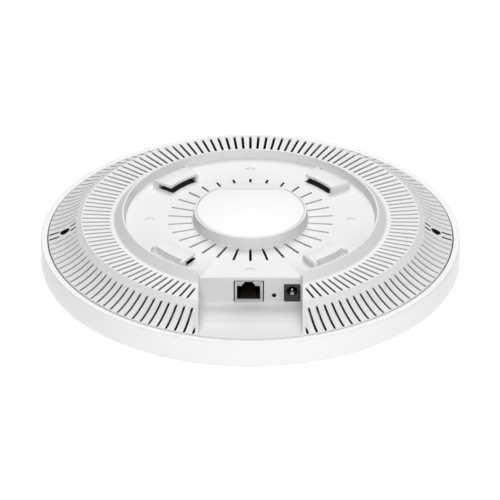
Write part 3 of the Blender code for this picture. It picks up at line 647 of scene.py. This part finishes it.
def hook(azimuth):
    """A roof on its outer wall, closed by a rounded end wall, with a rib out at either end."""
    bm = bmesh.new()
    low = FLOOR_Z - 0.5
    first = azimuth - HOOK_HALF_ANGLE - HOOK_END_ANGLE
    start = azimuth - HOOK_HALF_ANGLE
    last = azimuth + HOOK_HALF_ANGLE
    overlap = HOOK_END_ANGLE / 6
    top = HOOK_TOP_Z
    eave = arc((HOOK_WALL_RADIUS - HOOK_EDGE, top - HOOK_EDGE), HOOK_EDGE, 0, 90, 3)
    eave += arc((HOOK_INNER_RADIUS + HOOK_EDGE, top - HOOK_EDGE), HOOK_EDGE, 90, 180, 3)
    seat = [(HOOK_INNER_RADIUS, HOOK_SEAT_Z), (HOOK_SLOT[1], HOOK_SEAT_Z), (HOOK_SLOT[1], low)]
    outline = [(HOOK_WALL_RADIUS, low), *eave, *seat]
    count = 18
    begin = start - overlap
    sweep(bm, [(begin + (last - begin) * i / count, outline) for i in range(count + 1)])
    sections = []
    radii = (HOOK_INNER_RADIUS + STEP, HOOK_RIB_RADIUS)
    for i in range(7):
        turn = math.radians(15 * i)
        run = HOOK_ROUNDING * (1 - math.cos(turn)) / HOOK_WALL_RADIUS
        shrink = HOOK_ROUNDING * (1 - math.sin(turn)) * 0.9
        sections.append((first + run, rib_outline(radii, low, shrink)))
    sections.append((start, sections[-1][1]))
    sweep(bm, sections)
    radii = (HOOK_WALL_RADIUS - 0.6, HOOK_RIB_RADIUS)
    rib = rib_outline(radii, low, 0.1)
    eased = rib_outline(radii, low, 0.3)
    end = last - HOOK_END_ANGLE
    ease = HOOK_EDGE / HOOK_RIB_RADIUS
    sweep(bm, [(end, eased), (end + ease, rib), (last - STEP / 60 - ease, rib), (last - STEP / 60, eased)])
    return bm


def in_painted_shade(place, normal):
    """Whether a face of the rear cover is coated black with painted shade, so that its openings look dark.

    The painted shade covers the under side, the pinhole's wall, the deep part of the vents in the two rings,
    the ends and the deep part of the vents in the recess's floor, and all of the screw wells and of
    the short vents beside them.
    """
    radius = math.hypot(place.x, place.y)
    in_panel = PANEL_Y < place.y < PANEL_Y + WALL
    if in_panel and math.hypot(place.x - PINHOLE.x, place.z - PINHOLE.z) < PINHOLE_RADIUS:
        return True
    if place.z > FLOOR_Z - 0.6 and BOSS_FOOT_RADIUS < radius < RECESS_RADIUS + 1:
        in_floor_vent = place.z < FLOOR_Z and FLOOR_VENT[0] - 0.1 < radius < FLOOR_VENT[1] + 0.1
        along = abs(place.x * normal.x + place.y * normal.y) / radius
        return in_floor_vent and along > 0.7
    in_notch = place.y < PANEL_Y + WALL + 0.1 and abs(place.x) < NOTCH_HALF_WIDTH + NOTCH_WALL
    deep = outer_z(radius) - place.z > PAINTED_SHADE_DEPTH
    return normal.z < -0.2 or (deep and not in_notch)


def screw_well(well):
    """The tube down to a cover screw, with the seat for its head."""
    top = cove_z(well.length) - 3
    profile = [(WELL_TUBE_RADIUS, top), (WELL_TUBE_RADIUS, WELL_BOTTOM_Z), (WELL_BORE_RADIUS, WELL_BOTTOM_Z)]
    profile += [(WELL_BORE_RADIUS, WELL_SEAT_Z), (WELL_RADIUS, WELL_SEAT_Z), (WELL_RADIUS, top + 2.2)]
    return solid(lathe, profile, 48, Matrix.Translation((well.x, well.y, 0)))


def make_rear_shell(material):
    bm = cut(rear_skin(), rear_cuts())
    join(bm, notch_tray())
    for azimuth in HOOK_AZIMUTHS:
        join(bm, hook(azimuth))
    for well in WELLS:
        join(bm, screw_well(well))
    # A rib under the land between the two rings of vents stops light from passing through both. It takes the
    # black painted shade too.
    join(bm, solid(prism_z, sector(BAFFLE_RADII, BAFFLE_ANGLES, 200), *BAFFLE_HEIGHTS))
    add_piece("rear_shell", bm, material, ["rear_cover"], inside=in_painted_shade)


# -------------------- face, label and sockets


def face_z(radius, inset=0.0):
    """Height of the domed face's outer surface, or of its inner one with inset as the wall."""
    rise = FACE_DEPTH + FACE_EDGE_Z
    sphere = (FACE_EDGE_RADIUS**2 + rise**2) / (2 * rise)
    return sphere - FACE_DEPTH - math.sqrt((sphere - inset) ** 2 - radius**2)


def make_face_shell(material):
    """The domed face, its side band and its rim, turned in one piece."""
    lens_hole = 2.3
    edge_rounding = 0.6
    lip_rounding = 0.25
    bend = 3.4
    lip = COVER_RADIUS + GROOVE
    rim = arc((lip + lip_rounding, -lip_rounding), lip_rounding, 180, 90, 3)
    rim += arc((RIM_RADIUS - edge_rounding, -edge_rounding), edge_rounding, 90, 0, 6)
    side = arc((RIM_RADIUS - bend, -BAND_HEIGHT), bend, 0, -42, 7)
    start = side[-1][0]
    count = 30
    dome = []
    for i in range(1, count + 1):
        radius = start + (lens_hole - start) * i / count
        dome.append((radius, face_z(min(radius, FACE_EDGE_RADIUS))))
    inner_edge = 116.4
    count = 12
    inside = []
    for i in range(count + 1):
        radius = lens_hole + (inner_edge - lens_hole) * i / count
        inside.append((radius, face_z(radius, WALL)))
    inner_wall = RIM_RADIUS - WALL
    ledge_z = COVER_EDGE_Z - WALL - 0.3
    ledge = [(inner_wall, -14.5), (inner_wall, -6), (LEDGE_RADIUS + 0.5, -4.8)]
    ledge += [(LEDGE_RADIUS + 0.5, ledge_z), (lip, ledge_z)]
    bm = solid(lathe, rim + side + dome + inside + ledge, 360)

    # The inside of the bowl is painted black: painted shade for the dark inside of the cover.
    def painted_shade_in_bowl(place, normal):
        outward = normal.x * place.x + normal.y * place.y
        return place.z < ledge_z + 0.1 and (normal.z > 0.2 or outward < 0)

    add_piece("face_shell", bm, material, ["front_cover"], inside=painted_shade_in_bowl)


def make_label(material):
    rings = []
    for grow, z in ((0, -LABEL_THICKNESS), (0, -0.1), (-0.03, -0.03), (-0.1, 0)):
        rings.append([(x, y, BOSS_Z + z) for x, y in label_outline(grow)])
    add_piece("label_sheet", solid(loft, rings), material, ["label_plate"])


# -------------------- sockets and reset button


def mouth_outline(grow=0.0):
    """The stepped outline of the network socket's mouth, as (x, z) points."""
    right = []
    for width, low, high in MOUTH_STEPS:
        right += [(width / 2 + grow, low), (width / 2 + grow, high)]
    right[0] = (right[0][0], right[0][1] - grow)
    right[-1] = (right[-1][0], right[-1][1] + grow)
    return [(MOUTH_X + x, z) for x, z in right] + [(MOUTH_X - x, z) for x, z in reversed(right)]


def make_socket_shield(material):
    """A folded box of sheet metal, open behind. Its front has the mouth and the two windows."""
    low, high = SHIELD_LOW, SHIELD_HIGH
    bm = solid(prism_y, rounded_box((low.x, high.x), (low.z, high.z), 0.45), low.y, high.y)
    x = (low.x + SHEET, high.x - SHEET)
    z = (low.z + SHEET, high.z - SHEET)
    bm = cut(bm, solid(prism_y, rounded_box(x, z, 0.15), low.y + SHEET, high.y + 1))
    # The front reaches down to the floor of the notch.
    outline = rounded_box((low.x, high.x), (NOTCH_FLOOR_Z + 0.05, low.z + 1), 0.3)
    bm = cut(bm, solid(prism_y, outline, low.y, low.y + SHEET - 0.01), "UNION")
    openings = bmesh.new()
    front = (low.y - 1, low.y + SHEET + 0.1)
    prism_y(openings, mouth_outline(), *front)
    for number in (1, 2):
        left, right = span(f"rj45_led_window_{number}")
        prism_y(openings, rounded_box((left.x, right.x), (left.z, right.z), 0.15), *front)
    for side in (low.x, high.x):
        x = (side - CORNER_RELIEF, side + CORNER_RELIEF)
        prism_y(openings, rounded_box(x, (high.z - CORNER_RELIEF, high.z + 1), 0.1), *front)
    bm = cut(bm, openings)
    edges = [rounding(0.08)]
    add_piece("socket_shield", bm, material, ["rj45_shield"], modifiers=edges)


def make_socket_housing(material):
    """The moulding inside the shield, with a comb that keeps the contacts apart."""
    low, high = span("rj45_housing")
    bm = solid(prism_y, rounded_box((low.x, high.x), (low.z, high.z), 0.2), low.y, high.y)
    spaces = solid(prism_y, mouth_outline(-0.05), low.y - 1, low.y + MOUTH_DEPTH)
    for side in (low.x, high.x):
        x = (side - 3.4, side + 3.4)
        prism_y(spaces, rounded_box(x, (6.85, high.z + 1), 0.1), low.y - 1, -57.0)
    bm = cut(bm, spaces)
    pitch = middle("rj45_contact_2").x - middle("rj45_contact_1").x
    floor = MOUTH_STEPS[0][1]
    for k in range(9):
        x = MOUTH_X + (k - 4) * pitch
        outline = [(low.y + 0.1, floor - 0.3), (low.y + 0.5, floor + 1.1), (-60.5, floor + 2.2)]
        outline += [(-53.5, floor + 5.4), (-53.5, floor - 0.3)]
        join(bm, solid(prism_x, outline, x - 0.17, x + 0.17))
    add_piece("socket_moulding", bm, material, ["rj45_housing"])


def make_contacts(material):
    """Eight sprung wires, bent over the front of the comb."""
    for k in range(1, 9):
        node = f"rj45_contact_{k}"
        low, high = span(node)
        x = middle(node).x
        radius = 0.17
        route = [(high.y - 0.2, high.z - radius), (-58.0, 0.9), (low.y + 1.4, low.z + 0.25)]
        route += [(low.y + 0.5, low.z + radius), (low.y + radius, low.z + 0.45), (low.y + 0.3, low.z + 0.8)]
        rings = []
        for i, (y, z) in enumerate(route):
            before = Vector(route[max(i - 1, 0)])
            after = Vector(route[min(i + 1, len(route) - 1)])
            along = (after - before).normalized()
            ring_points = []
            for across, up in circle((0, 0), radius, 10):
                ring_points.append((x + across, y - up * along.y, z + up * along.x))
            rings.append(ring_points)
        bm = solid(loft, rings)
        add_piece(f"contact_wire_{k}", bm, material, [node], sharp=60)


def make_led_windows(material):
    for number in (1, 2):
        node = f"rj45_led_window_{number}"
        low, high = span(node)
        gap = 0.04
        outline = rounded_box((low.x + gap, high.x - gap), (low.z + gap, high.z - gap), 0.15)
        bm = solid(prism_y, outline, SHIELD_LOW.y + 0.03, high.y)
        edges = [rounding(0.06)]
        add_piece(f"led_lens_{number}", bm, material, [node], modifiers=edges)


def along_y(x, y, z):
    """Puts a lathe's axis along Y, with its height 0 at y and its heights running backwards."""
    return Matrix.Translation((x, y, z)) @ Matrix.Rotation(-math.pi / 2, 4, "X")


def make_power_socket(plastic_material, pin_material, spring_material):
    """The round socket in its square block, with its centre pin and the leaf that grips the plug."""
    low, high = POWER_LOW, POWER_HIGH
    floor = NOTCH_FLOOR_Z + 0.02
    bm = solid(prism_y, rounded_box((low.x, high.x), (low.z, high.z), 0.3), low.y + 1.5, high.y)
    flange = solid(prism_y, rounded_box((low.x, high.x), (floor, high.z), 0.25), low.y, low.y + 1.6)
    bm = cut(bm, flange, "UNION")
    axis = along_y(BARREL_X, low.y, BARREL_Z)
    rim = BARREL_RADIUS + 0.2
    profile = [(0, -1), (rim + 1, -1), (rim, 0), (BARREL_RADIUS, 0.25)]
    profile += [(BARREL_RADIUS, BARREL_DEPTH), (0, BARREL_DEPTH)]
    bm = cut(bm, solid(lathe, profile, 64, axis))
    add_piece("power_socket", bm, plastic_material, ["dc_jack_body"])

    radius = span("dc_jack_pin")[1].x - BARREL_X
    tip = 1.6
    nose = [(0, tip), (radius * 0.45, tip + 0.08), (radius * 0.8, tip + 0.35), (radius * 0.97, tip + 0.75)]
    pin = nose + [(radius, tip + 1.1), (radius, BARREL_DEPTH + 0.3), (0, BARREL_DEPTH + 0.3)]
    add_piece("power_pin", solid(lathe, pin, 32, axis), pin_material, ["dc_jack_pin"])

    # The leaf rises from the floor of the barrel and dips again behind, where it touches the plug.
    base = BARREL_Z - BARREL_RADIUS + 0.25
    crest = 1.9
    run = 8.0
    half_width = 0.95
    thickness = 0.22
    count = 16
    upper = []
    for i in range(count + 1):
        t = i / count
        upper.append((low.y + 1.2 + run * t, base + crest * math.sin(math.pi * min(1, t * 1.15)) ** 1.2))
    leaf = upper + [(y, z - thickness) for y, z in reversed(upper)]
    bm = solid(prism_x, leaf, BARREL_X - half_width, BARREL_X + half_width)
    add_piece("power_spring", bm, spring_material, ["dc_jack_spring"])


def make_reset_tip(material):
    """The button behind the pinhole, which travels with its own body."""
    low, high = span("reset_plunger")
    radius = (high.x - low.x) / 2
    length = high.y - low.y
    tip = [(0, 0.12), (radius * 0.45, 0.08), (radius * 0.6, 0), (radius - 0.3, 0), (radius - 0.09, 0.09)]
    profile = [*tip, (radius, 0.3), (radius, length), (0, length)]
    bm = solid(lathe, profile, 40, along_y(PINHOLE.x, low.y, PINHOLE.z))
    add_piece("reset_tip", bm, material, ["reset_plunger"], body="reset_button")


# -------------------- screws, capacitors and light pipe


def make_screw(name, node, head_up, material):
    """A pan head with a cross recess, on a threaded shank. Heights run down from the head's top."""
    low, high = span(node)
    centre = middle(node)
    length = high.z - low.z
    head = (high.x - low.x) / 2
    place = Matrix.Translation((centre.x, centre.y, high.z if head_up else low.z))
    if not head_up:
        place = place @ Matrix.Rotation(math.pi, 4, "X")
    head_height = 1.6
    core = 0.95
    pitch = 0.8
    crown = [(0, 0), (head * 0.5, -0.04), (head * 0.8, -0.22), (head * 0.96, -0.6), (head, -0.95)]
    crown += [(head, -head_height), (core, -head_height)]
    thread = []
    depth = head_height + 0.4
    while depth < length - head_height:
        thread += [(core, -depth), (core + 0.25, -depth - 0.3), (core, -depth - 0.6)]
        depth += pitch
    bm = solid(lathe, [*crown, *thread, (0.9, -length + 1.0), (0, -length)], 32, place)
    arm = 1.35
    half = 0.24
    plus = [(arm, half), (half, half), (half, arm), (-half, arm), (-half, half), (-arm, half)]
    plus += [(-x, -y) for x, y in plus]
    rings = []
    for scale, z in ((1.1, 0.3), (0.55, -1.1)):
        rings.append([place @ Vector((x * scale, y * scale, z)) for x, y in plus])
    add_piece(name, cut(bm, solid(loft, rings)), material, [node])


def make_screws(material):
    for number in (1, 2):
        make_screw(f"face_screw_{number}", f"cover_screw_{number}", True, material)
    for number in range(1, 5):
        make_screw(f"inner_screw_{number}", f"board_screw_{number}", False, material)


def make_capacitors(materials):
    """Cans in a shrunk sleeve that leaves the scored metal top showing."""
    for number in range(1, 5):
        node = f"capacitor_{number}"
        low, high = span(node)
        centre = middle(node)
        radius = (high.x - low.x) / 2
        height = high.z - low.z
        groove = [(radius, 1.6), (radius - 0.35, 1.35), (radius - 0.35, 1.05), (radius, 0.8)]
        sleeve = [(radius, 0.2), *groove[::-1], (radius, height - 0.5), (radius - 0.3, height - 0.1)]
        sleeve += [(radius - 0.8, height), (radius - 0.95, height - 0.12), (0, height - 0.12)]
        place = Matrix.Translation((centre.x, centre.y, low.z))
        bm = solid(lathe, [(0, 0), (radius - 0.3, 0), *sleeve], 40, place)
        plus = [(radius * 0.6, 0.12), (0.12, 0.12), (0.12, radius * 0.6)]
        plus += [(-x, y) for x, y in plus[::-1]]
        plus += [(-x, -y) for x, y in plus]
        plus = [(centre.x + x, centre.y + y) for x, y in plus]
        bm = cut(bm, solid(prism_z, plus, high.z - 0.32, high.z + 1))
        top = high.z - 0.2

        def metal_top(place, normal):
            return place.z > top - 0.2 and math.hypot(place.x - centre.x, place.y - centre.y) < radius - 0.95

        add_piece(f"can_{number}", bm, materials, [node], inside=metal_top)


def make_light_pipe(material):
    """A clear rod with a flange, whose domed end is flush with the face."""
    low, high = span("status_light_pipe")
    radius = 2.0
    flange = (high.x - low.x) / 2
    seat = face_z(0, WALL) + 0.3
    dome = [(0, 0.02), (1.0, 0.04), (1.6, 0.1), (1.9, 0.22), (radius, 0.5)]
    dome = [(r, low.z + z) for r, z in dome]
    disc = [(radius, 0), (flange - 0.2, 0), (flange, 0.2), (flange, 1.0), (flange - 0.2, 1.2), (radius, 1.2)]
    disc = [(r, seat + z) for r, z in disc]
    rod = [(radius, high.z - 0.3), (radius - 0.3, high.z), (0, high.z)]
    bm = solid(lathe, dome + disc + rod, 40)
    add_piece("status_lens", bm, material, ["status_light_pipe"])


# -------------------- materials


def add_node(material, kind, inputs=(), **settings):
    """Adds a shader node. An input is given a value, or is linked to another node's socket."""
    node = material.node_tree.nodes.new(kind)
    for key, value in settings.items():
        setattr(node, key, value)
    for key, value in dict(inputs).items():
        if isinstance(value, bpy.types.NodeSocket):
            material.node_tree.links.new(value, node.inputs[key])
        else:
            node.inputs[key].default_value = value
    return node


def new_material(name, colour, roughness, metallic=0.0):
    material = bpy.data.materials.new(name)
    material.use_nodes = True
    shader = material.node_tree.nodes["Principled BSDF"]
    shader.inputs["Base Color"].default_value = (*colour, 1)
    shader.inputs["Roughness"].default_value = roughness
    shader.inputs["Metallic"].default_value = metallic
    return material, shader


def noise(material, place, size, detail):
    """A noise texture whose features are about size millimetres wide."""
    inputs = {"Vector": place, "Scale": 1 / (size * MM), "Detail": detail}
    return add_node(material, "ShaderNodeTexNoise", inputs).outputs["Fac"]


def mottled(material, shader, colour, spread, roughness, rough_spread, patch, grain, depth, stretch):
    """Gives a shader patchy colour and roughness, and a fine grain. patch and grain are in mm."""
    links = material.node_tree.links
    place = add_node(material, "ShaderNodeTexCoord").outputs["Object"]
    place = add_node(material, "ShaderNodeMapping", {"Vector": place, "Scale": stretch}).outputs["Vector"]
    wide = noise(material, place, patch, 3.0)
    fine = noise(material, place, grain, 2.0)
    darker = (*[c * (1 - spread) for c in colour], 1)
    lighter = (*[min(1, c * (1 + spread)) for c in colour], 1)
    inputs = {"Factor": wide, "A": darker, "B": lighter}
    shades = add_node(material, "ShaderNodeMix", inputs, data_type="RGBA")
    links.new(shades.outputs["Result"], shader.inputs["Base Color"])
    inputs = {"Value": fine, "To Min": roughness - rough_spread, "To Max": roughness + rough_spread}
    rough = add_node(material, "ShaderNodeMapRange", inputs)
    links.new(rough.outputs["Result"], shader.inputs["Roughness"])
    bump = add_node(material, "ShaderNodeBump", {"Height": fine, "Distance": depth * MM})
    links.new(bump.outputs["Normal"], shader.inputs["Normal"])


def plastic(name, colour, roughness, spread=0.01, grain=0.35, depth=0.012):
    """Moulded plastic with a fine spark-eroded grain."""
    material, shader = new_material(name, colour, roughness)
    mottled(material, shader, colour, spread, roughness, 0.06, 22, grain, depth, (1, 1, 1))
    shader.inputs["IOR"].default_value = 1.5
    return material


def metal(name, colour, roughness, stretch=(1, 14, 1), depth=0.004):
    """Rolled or plated sheet with fine drawn marks."""
    material, shader = new_material(name, colour, roughness, 1.0)
    mottled(material, shader, colour, 0.06, roughness, 0.08, 6, 0.5, depth, stretch)
    return material


def board_material():
    """Dark solder mask over copper traces, with plated holes."""
    green = (0.004, 0.016, 0.008)
    material, shader = new_material("board_green", green, 0.38)
    links = material.node_tree.links
    place = add_node(material, "ShaderNodeTexCoord").outputs["Object"]
    inputs = {"Vector": place, "Scale": 1 / (9 * MM), "Mortar Size": 0.035}
    for name, brightness in (("Color1", 1), ("Color2", 1.25), ("Mortar", 2.2)):
        inputs[name] = (*[c * brightness for c in green], 1)
    traces = add_node(material, "ShaderNodeTexBrick", inputs)
    holes = add_node(material, "ShaderNodeTexVoronoi", {"Vector": place, "Scale": 1 / (5 * MM)})
    hole_radius = 0.06
    inputs = {0: holes.outputs["Distance"], 1: hole_radius}
    in_hole = add_node(material, "ShaderNodeMath", inputs, operation="LESS_THAN")
    plated = (0.06, 0.045, 0.02, 1)
    inputs = {"Factor": in_hole.outputs["Value"], "A": traces.outputs["Color"], "B": plated}
    mix = add_node(material, "ShaderNodeMix", inputs, data_type="RGBA")
    links.new(mix.outputs["Result"], shader.inputs["Base Color"])
    bump = add_node(material, "ShaderNodeBump", {"Height": traces.outputs["Fac"], "Distance": 0.03 * MM})
    links.new(bump.outputs["Normal"], shader.inputs["Normal"])
    return material


def perforated(name, colour, roughness, pitch, hole):
    """Sheet metal whose small round holes, in a regular pattern, are painted black: painted shade for the
    dark inside seen through them. pitch and hole are in mm.
    """
    material = metal(name, colour, roughness)
    shader = material.node_tree.nodes["Principled BSDF"]
    links = material.node_tree.links
    place = add_node(material, "ShaderNodeTexCoord").outputs["Object"]
    inputs = {"Vector": place, "Scale": 1 / (pitch * MM), "Randomness": 0.0}
    cells = add_node(material, "ShaderNodeTexVoronoi", inputs)
    inputs = {0: cells.outputs["Distance"], 1: hole / pitch}
    sheet = add_node(material, "ShaderNodeMath", inputs, operation="GREATER_THAN")
    shades = shader.inputs["Base Color"].links[0].from_socket
    # The holes take black painted shade.
    inputs = {"Factor": sheet.outputs["Value"], "A": (0.01, 0.01, 0.01, 1), "B": shades}
    mix = add_node(material, "ShaderNodeMix", inputs, data_type="RGBA")
    links.new(mix.outputs["Result"], shader.inputs["Base Color"])
    return material


def dress_cad_nodes():
    """Gives a finish to the CAD nodes that stay as they are."""
    chip = plastic("chip_black", (0.012, 0.012, 0.013), 0.55, spread=0.15, grain=0.15, depth=0.01)
    tin = metal("tinned_steel", (0.42, 0.42, 0.41), 0.38)
    lead = plastic("lead_grey", (0.06, 0.06, 0.063), 0.45, spread=0.1, grain=0.6)
    finishes = {
        "main_board": board_material(),
        "heat_spreader": metal("aluminium", (0.3, 0.3, 0.31), 0.45, stretch=(1, 30, 1), depth=0.006),
        "processor": chip,
        "memory_chip_": chip,
        "radio_chip_": chip,
        "network_transformer": chip,
        "thermal_pad_": plastic("thermal_pad", (0.16, 0.2, 0.3), 0.8, spread=0.12, grain=0.25, depth=0.03),
        "rf_shield_": perforated("shield_can", (0.3, 0.3, 0.29), 0.4, 3.0, 0.7),
        "antenna_lead_": lead,
        "antenna_plug_": metal("plug_gold", (0.2, 0.14, 0.06), 0.4),
        "antenna_": tin,
        "poe_core": plastic("ferrite", (0.03, 0.03, 0.032), 0.7, spread=0.2, grain=0.3, depth=0.02),
        "poe_bobbin": plastic("coil_tape", (0.12, 0.08, 0.015), 0.4, spread=0.12, grain=1.5, depth=0.01),
        "status_led": plastic("status_led", (0.6, 0.58, 0.5), 0.3, spread=0.05),
        "reset_switch_body": plastic("switch_grey", (0.05, 0.05, 0.052), 0.5, spread=0.08),
    }
    for name, cad_object in nodes.items():
        if cad_object.hide_render:
            continue
        finish = next(finishes[start] for start in finishes if name.startswith(start))
        for material_slot in cad_object.material_slots:
            material_slot.material = finish


# -------------------- the scene


# Black painted shade for the rear cover's under side and the deep parts of its openings, and for the inside
# of the face's bowl.
painted_shade_black = plastic("painted_shade_black", (0.012, 0.012, 0.012), 0.75)
white_back = plastic("white_back", (0.66, 0.66, 0.658), 0.5)
white_face = plastic("white_face", (0.68, 0.68, 0.676), 0.42)
label_white = plastic("label_white", (0.8, 0.8, 0.8), 0.6, grain=0.2, depth=0.004)
nickel = metal("nickel", (0.66, 0.65, 0.64), 0.36, stretch=(1, 1, 8))
spring_nickel = metal("spring_nickel", (0.3, 0.3, 0.3), 0.6, stretch=(1, 8, 1))
socket_black = plastic("socket_black", (0.006, 0.006, 0.006), 0.5, spread=0.15)
power_black = plastic("power_black", (0.028, 0.028, 0.029), 0.5, spread=0.1)
button_black = plastic("button_black", (0.006, 0.006, 0.006), 0.5, spread=0.1)
contact_gold = metal("contact_gold", (0.19, 0.13, 0.06), 0.4)
indicator = plastic("indicator", (0.46, 0.46, 0.45), 0.35, spread=0.03)
screw_steel = metal("screw_steel", (0.4, 0.4, 0.41), 0.35, stretch=(1, 1, 1))
sleeve_blue = plastic("sleeve_blue", (0.012, 0.02, 0.07), 0.35, spread=0.1, grain=0.8)
can_top = metal("can_top", (0.5, 0.5, 0.51), 0.3, stretch=(1, 8, 1))
lens = plastic("lens", (0.7, 0.72, 0.74), 0.12, spread=0.02, grain=0.5, depth=0.002)
lens.node_tree.nodes["Principled BSDF"].inputs["Transmission Weight"].default_value = 0.7

make_rear_shell((white_back, painted_shade_black))
make_face_shell((white_face, painted_shade_black))
make_label(label_white)
make_socket_shield(nickel)
make_socket_housing(socket_black)
make_contacts(contact_gold)
make_led_windows(indicator)
make_power_socket(power_black, nickel, spring_nickel)
make_reset_tip(button_black)
make_screws(screw_steel)
make_capacitors((sleeve_blue, can_top))
make_light_pipe(lens)
dress_cad_nodes()


# -------------------- floor, light and camera


def make_stage():
    """A white floor just under the face."""
    bm = bmesh.new()
    half = 3.0
    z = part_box("front_cover")[0].z - 0.0005
    corners = [(-half, -half), (half, -half), (half, half), (-half, half)]
    bm.faces.new([bm.verts.new((x, y, z)) for x, y in corners])
    floor = add_object("floor", mesh_of(bm, "floor"))
    material, shader = new_material("floor", (0.97, 0.97, 0.97), 0.9)
    shader.inputs["Emission Color"].default_value = (1, 1, 1, 1)
    shader.inputs["Emission Strength"].default_value = 0.46
    floor.data.materials.append(material)


def add_light(name, place, size, power):
    """A soft light that points at the object."""
    data = bpy.data.lights.new(name, "AREA")
    data.shape = "RECTANGLE"
    data.size = data.size_y = size
    data.energy = power
    light = add_object(name, data)
    light.location = place
    light.rotation_euler = (-Vector(place)).to_track_quat("-Z", "Y").to_euler()


def make_lights():
    world = bpy.data.worlds.new("studio")
    bpy.context.scene.world = world
    world.use_nodes = True
    world.node_tree.nodes["Background"].inputs["Strength"].default_value = 0.0
    add_light("above_behind", (0, 2.2, 2.4), 2, 78.7)
    add_light("above_front", (0, -2, 2.6), 2, 95.5)
    add_light("front_right", (1.8, -3.0, 1.2), 1.6, 18.1)


def make_camera():
    """A parallel view from the side of the cable notch, looking down by elevation."""
    elevation = math.radians(29.9)
    data = bpy.data.cameras.new("camera")
    data.type = "ORTHO"
    data.ortho_scale = 0.28975
    data.clip_start = 0.01
    data.clip_end = 10
    camera = add_object("camera", data)
    back = Vector((0, -math.cos(elevation), math.sin(elevation)))
    up = Vector((0, math.sin(elevation), math.cos(elevation)))
    aim = Vector((-0.00025, 0, RIM_TOP)) - up * 0.00662
    camera.location = aim + back * 1.5
    camera.rotation_euler = (math.pi / 2 - elevation, 0, 0)
    bpy.context.scene.camera = camera


make_stage()
make_lights()
make_camera()
bpy.context.scene.view_settings.view_transform = "Standard"
